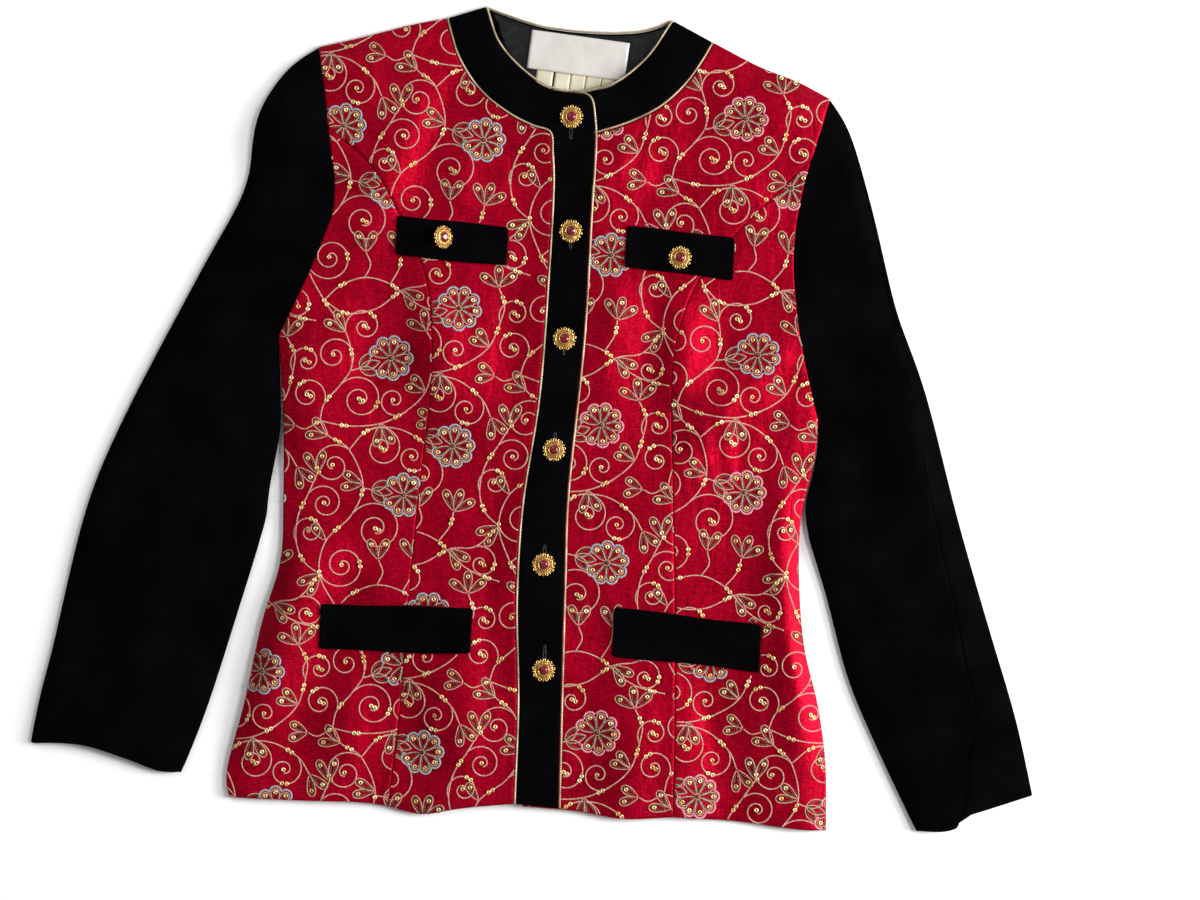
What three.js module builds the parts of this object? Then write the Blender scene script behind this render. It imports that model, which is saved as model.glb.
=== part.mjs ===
// A collarless evening blazer laid out flat, face up: red slub silk fronts and back, black velvet
// sleeves, front band and pocket flaps, cord in the band seams and eight jewelled buttons.
// Millimetres, +Z up, the hem towards -Y. The wearer's right side lies at -X, and the right front
// laps over the left one. The back and the under sleeves lie on the floor, the rest lies on them.
import * as THREE from "three";

// Cloth and clearances
const WALL = 2;
const THIN = 1;
const GAP = 0.3;
const SECOND_LAYER = WALL + GAP;
const PLAIN_SEAM = GAP / 2;

// Cord sewn into the band seams
const CORD_RADIUS = 1;
const CORD_SEAM = CORD_RADIUS + GAP;
const CORD_PROUD = 0.6;
const CORD_SIDES = 6;

// How the upper layer stands off the lower one
const BODY_CROWN = 3.4;
const CROWN_RUN = 16;
const LAP_RISE = WALL + 1;
const LAP_RUN = 16;
const FLAP_CLEARANCE = 0.8;
const SLEEVE_STEP = 3.5;
const SLEEVE_STEP_RUN = 20;

// Fold round the outer edge of a sleeve: the under sleeve turns up and comes back on top
const FOLD_RADIUS = (2 * WALL + GAP) / 2;
const FOLD_STEPS = 4;

// Front band and buttons
const LAP_HIDDEN = 5;
const BUTTON_RADIUS = 9.5;
const BUTTON_SCALLOPS = 9;
const BUTTON_SCALLOP_DEPTH = 0.045;
const BUTTON_BASE_RADIUS = 8.4;
const BUTTON_SEAT = 0.4;

// Rows of cells from top to bottom, and columns across
const ARMHOLE_ROWS = 4;
const PRINCESS_ROWS = 36;
const NECK_ROWS = 9;
const FRONT_ROWS = ARMHOLE_ROWS + PRINCESS_ROWS - NECK_ROWS;
const SIDE_COLUMNS = 8;
const CENTRE_COLUMNS = 8;
const BAND_COLUMNS = 3;
const BACK_NECK_COLUMNS = 12;
const SLEEVE_CORNER = ARMHOLE_ROWS + 3;
const SLEEVE_INNER_ROWS = 15;
const SLEEVE_ROWS = 2 * (ARMHOLE_ROWS + SIDE_COLUMNS - SLEEVE_CORNER) + SLEEVE_INNER_ROWS;
const STRIP_COLUMNS = 2;

// Outline of the wearer's right side, and its seams
const ARMHOLE_TOP_RIGHT = [
  { x: -198, y: 284 },
  { x: -191, y: 248 },
  { x: -187, y: 220 },
];
const ARMHOLE_LOW_RIGHT = [
  { x: -187, y: 220 },
  { x: -182, y: 189 },
  { x: -179, y: 161 },
  { x: -189, y: 125 },
  { x: -205, y: 83 },
  { x: -219, y: 52 },
];
const PRINCESS_RIGHT = [
  { x: -187, y: 220 },
  { x: -151, y: 191 },
  { x: -127, y: 153 },
  { x: -103, y: 103 },
  { x: -95, y: 35 },
  { x: -100, y: -58 },
  { x: -105, y: -155 },
  { x: -107, y: -228 },
  { x: -113, y: -320 },
];
const SIDE_RIGHT = [
  { x: -219, y: 52 },
  { x: -213, y: 0 },
  { x: -209, y: -80 },
  { x: -209, y: -128 },
  { x: -221, y: -176 },
  { x: -232, y: -241 },
  { x: -244, y: -303 },
  { x: -241, y: -319 },
];
const SHOULDER_RIGHT = [
  { x: -198, y: 284 },
  { x: -165, y: 293 },
  { x: -118, y: 307 },
  { x: -96, y: 312 },
];
const HEM_SIDE_RIGHT = [
  { x: -241, y: -319 },
  { x: -184, y: -319 },
  { x: -136, y: -318 },
  { x: -113, y: -320 },
];
const HEM_CENTRE_RIGHT = [
  { x: -113, y: -320 },
  { x: -87, y: -325 },
  { x: -56, y: -319 },
  { x: -12, y: -313 },
];
const HEM_BAND = [
  { x: -12, y: -313 },
  { x: 24, y: -315 },
];

// Front band: its seam, the neckline and the free edge
const BAND_SEAM_NECK = [
  { x: -96, y: 312 },
  { x: -85, y: 281 },
  { x: -65, y: 254 },
  { x: -37, y: 235 },
  { x: -9, y: 224 },
];
const BAND_SEAM_FRONT = [
  { x: -9, y: 224 },
  { x: -5, y: 193 },
  { x: -5, y: 106 },
  { x: -8, y: 10 },
  { x: -17, y: -75 },
  { x: -18, y: -150 },
  { x: -13, y: -230 },
  { x: -12, y: -313 },
];
const NECK_EDGE_RIGHT = [
  { x: -65, y: 323 },
  { x: -54, y: 295 },
  { x: -33, y: 273 },
  { x: -9, y: 259 },
  { x: 10, y: 257.5 },
  { x: 22, y: 253 },
];
const FREE_EDGE = [
  { x: 22, y: 253 },
  { x: 27, y: 230 },
  { x: 27, y: 156 },
  { x: 26, y: 60 },
  { x: 19, y: -70 },
  { x: 20, y: -133 },
  { x: 22, y: -229 },
  { x: 24, y: -315 },
];
const BAND_END = [
  { x: -96, y: 312 },
  { x: -65, y: 323 },
];

// Outline of the wearer's left side, and its seams
const ARMHOLE_TOP_LEFT = [
  { x: 213, y: 262 },
  { x: 206, y: 233 },
  { x: 200, y: 212 },
];
const ARMHOLE_LOW_LEFT = [
  { x: 200, y: 212 },
  { x: 192, y: 172 },
  { x: 190, y: 131 },
  { x: 197, y: 76 },
  { x: 205, y: 42 },
  { x: 216, y: 4 },
];
const PRINCESS_LEFT = [
  { x: 200, y: 212 },
  { x: 171, y: 181 },
  { x: 141, y: 148 },
  { x: 111, y: 104 },
  { x: 98, y: 50 },
  { x: 102, y: -50 },
  { x: 108, y: -140 },
  { x: 113, y: -250 },
  { x: 115, y: -318 },
];
const SIDE_LEFT = [
  { x: 216, y: 4 },
  { x: 215, y: -22 },
  { x: 206, y: -75 },
  { x: 206, y: -113 },
  { x: 213, y: -175 },
  { x: 227, y: -225 },
  { x: 235, y: -270 },
  { x: 238, y: -323 },
];
const SHOULDER_LEFT = [
  { x: 117, y: 303 },
  { x: 156, y: 285 },
  { x: 188, y: 274 },
  { x: 213, y: 262 },
];
const BAND_SEAM_LEFT = [
  { x: 117, y: 303 },
  { x: 103, y: 277 },
  { x: 81, y: 252 },
  { x: 54, y: 236 },
  { x: 27, y: 226 },
  { x: 0, y: 218 },
];
const NECK_EDGE_LEFT = [
  { x: 84, y: 319 },
  { x: 66, y: 289 },
  { x: 45, y: 269 },
  { x: 34, y: 263 },
  { x: 16, y: 258.5 },
  { x: 0, y: 252 },
];
const BAND_END_LEFT = [
  { x: 84, y: 319 },
  { x: 117, y: 303 },
];
const HEM_CENTRE_LEFT = [
  { x: -7, y: -315 },
  { x: 40, y: -317 },
  { x: 73, y: -321 },
  { x: 115, y: -318 },
];
const HEM_SIDE_LEFT = [
  { x: 115, y: -318 },
  { x: 169, y: -319 },
  { x: 217, y: -323 },
  { x: 238, y: -323 },
];

// Back neck
const NECK_EDGE_BACK = [
  { x: -65, y: 323 },
  { x: -41, y: 315 },
  { x: -14, y: 309 },
  { x: 32, y: 307 },
  { x: 66, y: 311 },
  { x: 84, y: 319 },
];
const BAND_SEAM_BACK = [
  { x: -96, y: 312 },
  { x: -52, y: 286 },
  { x: 10, y: 275 },
  { x: 72, y: 282 },
  { x: 117, y: 303 },
];

// Sleeves: the silhouette edges and the cuffs
const SLEEVE_OUTER_RIGHT = [
  { x: -198, y: 284 },
  { x: -213, y: 276 },
  { x: -240, y: 240 },
  { x: -246.5, y: 223 },
  { x: -248, y: 207 },
  { x: -249, y: 175 },
  { x: -280, y: 109 },
  { x: -341, y: -22 },
  { x: -365, y: -87 },
  { x: -390, y: -216 },
  { x: -397, y: -247 },
  { x: -402, y: -283 },
];
const SLEEVE_INNER_RIGHT = [
  { x: -219, y: 52 },
  { x: -215, y: 0 },
  { x: -214, y: -36 },
  { x: -221, y: -58 },
  { x: -220, y: -81 },
  { x: -243, y: -178 },
  { x: -266, y: -262 },
  { x: -280, y: -301 },
];
const CUFF_RIGHT = [
  { x: -402, y: -283 },
  { x: -360, y: -283 },
  { x: -325, y: -292 },
  { x: -296, y: -301 },
  { x: -280, y: -301 },
];
const SLEEVE_OUTER_LEFT = [
  { x: 213, y: 262 },
  { x: 226, y: 246 },
  { x: 249, y: 183 },
  { x: 277, y: 88 },
  { x: 291, y: 57 },
  { x: 303, y: 25 },
  { x: 332, y: -70 },
  { x: 364, y: -164 },
  { x: 386, y: -227 },
  { x: 402, y: -287 },
];
const SLEEVE_INNER_LEFT = [
  { x: 216, y: 4 },
  { x: 217, y: -22 },
  { x: 209, y: -70 },
  { x: 230, y: -138 },
  { x: 250, y: -202 },
  { x: 280, y: -264 },
  { x: 310, y: -320 },
];
const CUFF_LEFT = [
  { x: 310, y: -320 },
  { x: 338, y: -317 },
  { x: 360, y: -300 },
  { x: 378, y: -292 },
  { x: 402, y: -287 },
];

// Width of the under sleeve that shows on top, from the armhole (at 0) to the cuff (at 1)
const FOLDED_OVER_RIGHT = [
  { at: 0, width: 4 },
  { at: 1, width: 4 },
];
const FOLDED_OVER_LEFT = [
  { at: 0, width: 4 },
  { at: 0.34, width: 5 },
  { at: 0.41, width: 12 },
  { at: 0.55, width: 18 },
  { at: 0.66, width: 21 },
  { at: 0.85, width: 29 },
  { at: 0.955, width: 50 },
  { at: 1, width: 62 },
];

// Largest folds of the upper layer: a soft ridge or, with a rise below 0, a trough, along a curve
// from a through b to c. The width is the reach of its slope to each side.
const FOLDS = [
  { name: "right shoulder", ax: -104, ay: 283, bx: -120, by: 215, cx: -176, cy: 86, width: 20, rise: 3.5 },
  { name: "right chest trough", ax: -135, ay: 132, bx: -133, by: 52, cx: -101, cy: -38, width: 15, rise: -2.4 },
  { name: "right bust", ax: -103, ay: 94, bx: -92, by: 46, cx: -93, cy: -30, width: 16, rise: 2.6 },
  { name: "right inner bust", ax: -74, ay: 110, bx: -59, by: 48, cx: -51, cy: -20, width: 15, rise: 2.2 },
  { name: "right band hollow", ax: -50, ay: 225, bx: -19, by: 170, cx: -18, cy: 110, width: 15, rise: -1.6 },
  { name: "right hip", ax: -150, ay: -118, bx: -192, by: -160, cx: -208, cy: -262, width: 16, rise: 4 },
  { name: "right hip hollow", ax: -165, ay: -215, bx: -182, by: -260, cx: -190, cy: -340, width: 14, rise: -2 },
  { name: "right hem hollow", ax: -135, ay: -195, bx: -95, by: -250, cx: -50, cy: -320, width: 18, rise: -2.4 },
  { name: "right hem wave", ax: -54, ay: -200, bx: -46, by: -250, cx: -36, cy: -350, width: 18, rise: 2.4 },
  { name: "right side wave", ax: -140, ay: -235, bx: -146, by: -280, cx: -150, cy: -350, width: 18, rise: 2.4 },
  { name: "left neck", ax: 20, ay: 165, bx: 45, by: 185, cx: 75, cy: 212, width: 18, rise: 2.4 },
  { name: "left centre", ax: 58, ay: 110, bx: 60, by: 70, cx: 62, cy: 20, width: 15, rise: 1.8 },
  { name: "left bust", ax: 104, ay: 112, bx: 112, by: 56, cx: 126, cy: -8, width: 16, rise: 3 },
  { name: "left bust hollow", ax: 82, ay: 103, bx: 74, by: 54, cx: 82, cy: -20, width: 15, rise: -1.8 },
  { name: "left pulled fold", ax: 196, ay: 72, bx: 150, by: 0, cx: 100, cy: -58, width: 15, rise: 4.4 },
  { name: "left waist hollow", ax: 190, ay: -5, bx: 164, by: -62, cx: 138, cy: -113, width: 20, rise: -2.2 },
  { name: "left side", ax: 192, ay: -50, bx: 200, by: -171, cx: 210, cy: -350, width: 15, rise: 2.6 },
  { name: "left hem wave", ax: 100, ay: -192, bx: 119, by: -248, cx: 136, cy: -350, width: 18, rise: 2.6 },
  { name: "left hem hollow", ax: 40, ay: -170, bx: 47, by: -244, cx: 56, cy: -350, width: 16, rise: -1.8 },
  { name: "left shoulder", ax: 120, ay: 285, bx: 140, by: 235, cx: 150, cy: 175, width: 20, rise: 2.6 },
  { name: "right shoulder pad", ax: -140, ay: 272, bx: -168, by: 262, cx: -192, cy: 240, width: 26, rise: 6 },
  { name: "left shoulder pad", ax: 150, ay: 256, bx: 178, by: 244, cx: 204, cy: 218, width: 26, rise: 6 },
  { name: "right neck edge", ax: -66, ay: 300, bx: -34, by: 262, cx: 22, cy: 244, width: 20, rise: 4 },
  { name: "left neck edge", ax: 86, ay: 297, bx: 62, by: 270, cx: 22, cy: 248, width: 20, rise: 4 },
  { name: "right sleeve head", ax: -214, ay: 258, bx: -226, by: 212, cx: -222, cy: 160, width: 20, rise: 6 },
  { name: "right sleeve crease", ax: -207, ay: 137, bx: -270, by: 62, cx: -330, cy: -20, width: 12, rise: 2.6 },
  { name: "right sleeve elbow", ax: -236, ay: 40, bx: -268, by: -10, cx: -284, cy: -84, width: 14, rise: 3.4 },
  { name: "right sleeve run", ax: -300, ay: -60, bx: -325, by: -150, cx: -345, cy: -300, width: 20, rise: 3 },
  { name: "right sleeve dip", ax: -225, ay: 110, bx: -255, by: 50, cx: -300, cy: -20, width: 11, rise: -1.8 },
  { name: "left sleeve head", ax: 224, ay: 228, bx: 232, by: 180, cx: 226, cy: 126, width: 20, rise: 6 },
  { name: "left sleeve ridge", ax: 240, ay: 120, bx: 282, by: 6, cx: 312, cy: -92, width: 17, rise: 4 },
  { name: "left sleeve run", ax: 268, ay: -80, bx: 300, by: -180, cx: 326, cy: -340, width: 18, rise: 3 },
  { name: "left sleeve hollow", ax: 228, ay: 60, bx: 246, by: -30, cx: 284, cy: -120, width: 14, rise: -1.8 },
];

// Pocket flaps: the top edge's left end, its right end, and the height of each side
const FLAPS = {
  breast_right: { leftX: -128, leftY: 152, rightX: -39, rightY: 147, leftDrop: 32, rightDrop: 31 },
  breast_left: { leftX: 55.5, leftY: 153, rightX: 142, rightY: 147, leftDrop: 33, rightDrop: 34 },
  hip_right: { leftX: -174, leftY: -161, rightX: -53, rightY: -158, leftDrop: 36.5, rightDrop: 37 },
  hip_left: { leftX: 60, leftY: -152, rightX: 178, rightY: -161, leftDrop: 39, rightDrop: 37.5 },
};
const FLAP_COLUMNS = 9;
const FLAP_ROWS = 3;

// Buttons: where each is sewn on, how far it leans on its shank, and what it lies on
const BUTTONS = {
  front_1: { x: 7, y: 237, lean: 0, on: "band" },
  front_2: { x: 11, y: 146, lean: 0, on: "band" },
  front_3: { x: 10, y: 60, lean: 0, on: "band" },
  front_4: { x: 6, y: -29, lean: 0, on: "band" },
  front_5: { x: 2, y: -121, lean: 0, on: "band" },
  front_6: { x: 6, y: -205, lean: 0, on: "band" },
  breast_right: { x: -91, y: 136, lean: 0.7, on: "flap" },
  breast_left: { x: 99, y: 129, lean: 0, on: "flap" },
};

// Label and care strips inside the back neck
const LABEL = { x: 10, y: 287, width: 79, height: 31, turn: -0.09 };
const CARE_STRIPS = { x: 9, y: 268, width: 64, height: 22, turn: -0.09 };

const SILK = new THREE.Color(0xb00a26);
const VELVET = new THREE.Color(0x060609);
const SATIN = new THREE.Color(0x0e0e12);
const LABEL_SATIN = new THREE.Color(0xcfcdc6);
const TAPE = new THREE.Color(0xe6dcb4);
const CORD_GOLD = new THREE.Color(0xd9c48c);
const BUTTON_GOLD = new THREE.Color(0xd8a840);

const blazer = new THREE.Group();

function add(name, geometry, colour, roughness, metalness) {
  const material = new THREE.MeshStandardMaterial({ color: colour, roughness, metalness });
  const mesh = new THREE.Mesh(geometry, material);
  mesh.name = name;
  blazer.add(mesh);
  return mesh;
}

function addSilk(name, geometry) {
  return add(name, geometry, SILK, 0.55, 0);
}

function addVelvet(name, geometry) {
  return add(name, geometry, VELVET, 0.95, 0);
}

// Curves in plan

function along(table, steps) {
  const points = table.map((row) => new THREE.Vector3(row.x, row.y, 0));
  const curve = new THREE.CatmullRomCurve3(points, false, "centripetal");
  curve.arcLengthDivisions = 600;
  return curve.getSpacedPoints(steps).map((point) => new THREE.Vector2(point.x, point.y));
}

function joined(first, second) {
  return [...first, ...second.slice(1)];
}

function reversed(points) {
  return [...points].reverse();
}

function distanceTo(line, x, y) {
  let best = Infinity;
  let place = 0;
  for (let i = 0; i + 1 < line.length; i += 1) {
    const a = line[i];
    const b = line[i + 1];
    const dx = b.x - a.x;
    const dy = b.y - a.y;
    const along01 = THREE.MathUtils.clamp(((x - a.x) * dx + (y - a.y) * dy) / (dx * dx + dy * dy), 0, 1);
    const distance = Math.hypot(x - a.x - dx * along01, y - a.y - dy * along01);
    if (distance < best) {
      best = distance;
      place = (i + along01) / (line.length - 1);
    }
  }
  return { distance: best, place };
}

function tableValue(table, at, key) {
  for (let i = 0; i + 1 < table.length; i += 1) {
    const low = table[i];
    const high = table[i + 1];
    if (at <= high.at) {
      const part = THREE.MathUtils.smoothstep(at, low.at, high.at);
      return THREE.MathUtils.lerp(low[key], high[key], part);
    }
  }
  return table[table.length - 1][key];
}

// Seams and edges, each sampled once so that the pieces on both sides share its points

const armholeTopRight = along(ARMHOLE_TOP_RIGHT, ARMHOLE_ROWS);
const armholeLowRight = along(ARMHOLE_LOW_RIGHT, SIDE_COLUMNS);
const princessRight = along(PRINCESS_RIGHT, PRINCESS_ROWS);
const sideRight = along(SIDE_RIGHT, PRINCESS_ROWS);
const shoulderRight = along(SHOULDER_RIGHT, CENTRE_COLUMNS);
const hemSideRight = along(HEM_SIDE_RIGHT, SIDE_COLUMNS);
const hemCentreRight = along(HEM_CENTRE_RIGHT, CENTRE_COLUMNS);
const hemBand = along(HEM_BAND, BAND_COLUMNS);
const bandSeam = joined(along(BAND_SEAM_NECK, NECK_ROWS), along(BAND_SEAM_FRONT, FRONT_ROWS));
const neckEdgeRight = along(NECK_EDGE_RIGHT, NECK_ROWS);
const freeEdge = along(FREE_EDGE, FRONT_ROWS);
const bandEnd = along(BAND_END, BAND_COLUMNS);

const armholeTopLeft = along(ARMHOLE_TOP_LEFT, ARMHOLE_ROWS);
const armholeLowLeft = along(ARMHOLE_LOW_LEFT, SIDE_COLUMNS);
const princessLeft = along(PRINCESS_LEFT, PRINCESS_ROWS);
const sideLeft = along(SIDE_LEFT, PRINCESS_ROWS);
const shoulderLeft = along(SHOULDER_LEFT, CENTRE_COLUMNS);
const hemCentreLeft = along(HEM_CENTRE_LEFT, CENTRE_COLUMNS);
const hemSideLeft = along(HEM_SIDE_LEFT, SIDE_COLUMNS);
const bandSeamLeft = along(BAND_SEAM_LEFT, NECK_ROWS);
const neckEdgeLeft = along(NECK_EDGE_LEFT, NECK_ROWS);
const bandEndLeft = along(BAND_END_LEFT, BAND_COLUMNS);

const neckEdgeBack = along(NECK_EDGE_BACK, BACK_NECK_COLUMNS);
const bandSeamBack = along(BAND_SEAM_BACK, BACK_NECK_COLUMNS);

const armholeRight = joined(armholeTopRight, armholeLowRight);
const armholeLeft = joined(armholeTopLeft, armholeLowLeft);

// The left front's own edge, which lies hidden under the band
const lapEdge = along(BAND_SEAM_FRONT, FRONT_ROWS);
lapEdge.forEach((point) => point.setX(point.x + LAP_HIDDEN));
lapEdge[0] = bandSeamLeft[NECK_ROWS].clone();

// Height of the upper layer

const closedEdges = [
  sideRight,
  sideLeft,
  shoulderRight,
  shoulderLeft,
  neckEdgeBack,
  bandEnd,
  bandEndLeft,
  along(SLEEVE_OUTER_RIGHT, SLEEVE_ROWS),
  along(SLEEVE_INNER_RIGHT, SLEEVE_ROWS),
  along(SLEEVE_OUTER_LEFT, SLEEVE_ROWS),
  along(SLEEVE_INNER_LEFT, SLEEVE_ROWS),
];

const foldLines = FOLDS.map((fold) => {
  const curve = new THREE.QuadraticBezierCurve3(
    new THREE.Vector3(fold.ax, fold.ay, 0),
    new THREE.Vector3(2 * fold.bx - (fold.ax + fold.cx) / 2, 2 * fold.by - (fold.ay + fold.cy) / 2, 0),
    new THREE.Vector3(fold.cx, fold.cy, 0),
  );
  return { line: curve.getPoints(12), width: fold.width, rise: fold.rise };
});

function edgeEase(x, y) {
  const nearest = Math.min(...closedEdges.map((line) => distanceTo(line, x, y).distance));
  return Math.sin((Math.PI / 2) * Math.min(1, nearest / CROWN_RUN));
}

function foldRise(x, y) {
  let rise = 0;
  for (const fold of foldLines) {
    const { distance, place } = distanceTo(fold.line, x, y);
    const reach = distance / fold.width;
    if (reach < 3) {
      const ends = 0.35 + 0.65 * Math.sin(Math.PI * place);
      rise += fold.rise * ends * Math.exp(-0.5 * reach * reach);
    }
  }
  return rise;
}

// Underside of the upper layer where nothing lies between it and the back
function upperLevel(x, y) {
  const raised = edgeEase(x, y) * (BODY_CROWN + foldRise(x, y));
  return SECOND_LAYER + 0.5 * (raised + Math.sqrt(raised * raised + 0.04));
}

// The right front climbs over the edge of the left one
function lapRise(x, y) {
  let seamX = bandSeam[NECK_ROWS].x;
  for (let i = NECK_ROWS; i < bandSeam.length; i += 1) {
    if (bandSeam[i].y > y) {
      seamX = bandSeam[i].x;
    }
  }
  return LAP_RISE * THREE.MathUtils.smoothstep(x, seamX - LAP_RUN - 4, seamX - 2);
}

function rightLevel(x, y) {
  return upperLevel(x, y) + lapRise(x, y);
}

// Solids

// Moves each side of a panel inwards by its own distance. The loop runs clockwise.
function insetSides(sides, inset) {
  const rows = sides.left.length - 1;
  const columns = sides.top.length - 1;
  const loop = [
    ...sides.top,
    ...sides.right.slice(1),
    ...reversed(sides.bottom).slice(1),
    ...reversed(sides.left).slice(1, rows),
  ];
  const edges = [
    ...Array(columns).fill(inset.top),
    ...Array(rows).fill(inset.right),
    ...Array(columns).fill(inset.bottom),
    ...Array(rows).fill(inset.left),
  ];
  const count = loop.length;
  const moved = loop.map((point, i) => {
    const before = loop[(i + count - 1) % count];
    const after = loop[(i + 1) % count];
    const first = new THREE.Vector2(point.y - before.y, before.x - point.x).normalize();
    const second = new THREE.Vector2(after.y - point.y, point.x - after.x).normalize();
    const a = edges[(i + count - 1) % count];
    const b = edges[i];
    const cross = first.x * second.y - first.y * second.x;
    if (Math.abs(cross) < 0.35) {
      const middle = first.clone().add(second);
      return point.clone().addScaledVector(middle, (a + b) / 2 / (1 + first.dot(second)));
    }
    const x = (a * second.y - b * first.y) / cross;
    const y = (b * first.x - a * second.x) / cross;
    return new THREE.Vector2(point.x + x, point.y + y);
  });
  const corner = columns + rows;
  return {
    top: moved.slice(0, columns + 1),
    right: moved.slice(columns, corner + 1),
    bottom: reversed(moved.slice(corner, corner + columns + 1)),
    left: reversed([...moved.slice(corner + columns), moved[0]]),
  };
}

// Fills the inside of four sides with a grid of points in plan
function fillGrid(sides) {
  const rows = sides.left.length - 1;
  const columns = sides.top.length - 1;
  const grid = [];
  for (let r = 0; r <= rows; r += 1) {
    const v = r / rows;
    const line = [];
    for (let c = 0; c <= columns; c += 1) {
      const u = c / columns;
      const blend = (key) =>
        (1 - v) * sides.top[c][key] + v * sides.bottom[c][key] +
        (1 - u) * sides.left[r][key] + u * sides.right[r][key] -
        (1 - u) * (1 - v) * sides.top[0][key] - u * (1 - v) * sides.top[columns][key] -
        (1 - u) * v * sides.bottom[0][key] - u * v * sides.bottom[columns][key];
      line.push(new THREE.Vector2(blend("x"), blend("y")));
    }
    grid.push(line);
  }
  return grid;
}

// Closed wall between a grid of lower points and a grid of upper points
function wallBetween(lower, upper) {
  const rows = lower.length - 1;
  const columns = lower[0].length - 1;
  const positions = [];
  for (const grid of [lower, upper]) {
    for (const point of grid.flat()) {
      positions.push(point.x, point.y, point.z);
    }
  }
  const half = (rows + 1) * (columns + 1);
  const index = [];
  const at = (r, c, top) => r * (columns + 1) + c + (top ? half : 0);
  const quad = (a, b, c, d) => index.push(a, b, c, a, c, d);
  for (let r = 0; r < rows; r += 1) {
    for (let c = 0; c < columns; c += 1) {
      quad(at(r, c, true), at(r + 1, c, true), at(r + 1, c + 1, true), at(r, c + 1, true));
      quad(at(r, c), at(r, c + 1), at(r + 1, c + 1), at(r + 1, c));
    }
  }
  for (let r = 0; r < rows; r += 1) {
    quad(at(r, 0), at(r + 1, 0), at(r + 1, 0, true), at(r, 0, true));
    quad(at(r + 1, columns), at(r, columns), at(r, columns, true), at(r + 1, columns, true));
  }
  for (let c = 0; c < columns; c += 1) {
    quad(at(0, c + 1), at(0, c), at(0, c, true), at(0, c + 1, true));
    quad(at(rows, c), at(rows, c + 1), at(rows, c + 1, true), at(rows, c, true));
  }
  const geometry = new THREE.BufferGeometry();
  geometry.setAttribute("position", new THREE.Float32BufferAttribute(positions, 3));
  geometry.setIndex(index);
  geometry.computeVertexNormals();
  return geometry;
}

function lifted(grid, level) {
  const lift = (point) => new THREE.Vector3(point.x, point.y, level(point.x, point.y));
  return grid.map((line) => line.map(lift));
}

function panel(sides, inset, level) {
  const grid = fillGrid(insetSides(sides, inset));
  return wallBetween(lifted(grid, level), lifted(grid, (x, y) => level(x, y) + WALL));
}

function slab(outline, level, thickness) {
  const shape = new THREE.Shape(outline);
  const geometry = new THREE.ExtrudeGeometry(shape, { depth: thickness, bevelEnabled: false });
  return geometry.translate(0, 0, level);
}

// Flat piece inside four sides, lying at one level
function flatPiece(sides, inset, level) {
  const moved = insetSides(sides, inset);
  const outline = [
    ...moved.top,
    ...moved.right.slice(1),
    ...reversed(moved.bottom).slice(1),
    ...reversed(moved.left).slice(1, -1),
  ];
  return slab(reversed(outline), level, WALL);
}

class Polyline3 extends THREE.Curve {
  constructor(points) {
    super();
    this.points = points;
  }

  getPoint(t, target = new THREE.Vector3()) {
    const place = Math.min(t, 1) * (this.points.length - 1);
    const i = Math.min(Math.floor(place), this.points.length - 2);
    return target.lerpVectors(this.points[i], this.points[i + 1], place - i);
  }

  getPointAt(t, target) {
    return this.getPoint(t, target);
  }

  getTangent(t, target = new THREE.Vector3()) {
    const step = 0.5 / (this.points.length - 1);
    const ahead = this.getPoint(Math.min(1, t + step));
    const behind = this.getPoint(Math.max(0, t - step));
    return target.subVectors(ahead, behind).normalize();
  }

  getTangentAt(t, target) {
    return this.getTangent(t, target);
  }
}

// Cord along points in plan, its middle a little above the middle of the wall beside it
function cord(line, level) {
  const rise = WALL / 2 + CORD_PROUD;
  const points = lifted([line], (x, y) => level(x, y) + rise)[0];
  const path = new Polyline3(points);
  const section = new THREE.Shape();
  for (let i = 0; i < CORD_SIDES; i += 1) {
    const angle = (2 * Math.PI * i) / CORD_SIDES;
    const x = CORD_RADIUS * Math.cos(angle);
    const y = CORD_RADIUS * Math.sin(angle);
    if (i === 0) {
      section.moveTo(x, y);
    } else {
      section.lineTo(x, y);
    }
  }
  section.closePath();
  return new THREE.ExtrudeGeometry(section, { steps: line.length - 1, extrudePath: path, curveSegments: 1 });
}

// Back, back neck band and lining

const backOutline = [
  ...armholeRight.slice(1),
  ...sideRight.slice(1),
  ...hemSideRight.slice(1),
  ...hemCentreRight.slice(1),
  ...along([HEM_BAND[0], HEM_CENTRE_LEFT[1]], 3).slice(1),
  ...hemCentreLeft.slice(3),
  ...hemSideLeft.slice(1),
  ...reversed(sideLeft).slice(1),
  ...reversed(armholeLeft).slice(1),
  ...reversed(shoulderLeft).slice(1),
  ...reversed(bandSeamBack).slice(1),
  ...reversed(shoulderRight).slice(1),
];

// Moves a closed outline inwards by one distance
function insetOutline(outline, distance) {
  const count = outline.length;
  return outline.map((point, i) => {
    const before = outline[(i + count - 1) % count];
    const after = outline[(i + 1) % count];
    const first = new THREE.Vector2(before.y - point.y, point.x - before.x).normalize();
    const second = new THREE.Vector2(point.y - after.y, after.x - point.x).normalize();
    const scale = distance / Math.max(0.3, 1 + first.dot(second));
    return point.clone().addScaledVector(first.add(second), scale);
  });
}

addSilk("back", slab(insetOutline(backOutline, PLAIN_SEAM), 0, WALL));

addVelvet("neck_band_back", flatPiece(
  { top: neckEdgeBack, right: bandEndLeft, bottom: bandSeamBack, left: reversed(bandEnd) },
  { top: CORD_SEAM, right: PLAIN_SEAM, bottom: PLAIN_SEAM, left: PLAIN_SEAM },
  0,
));

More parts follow.
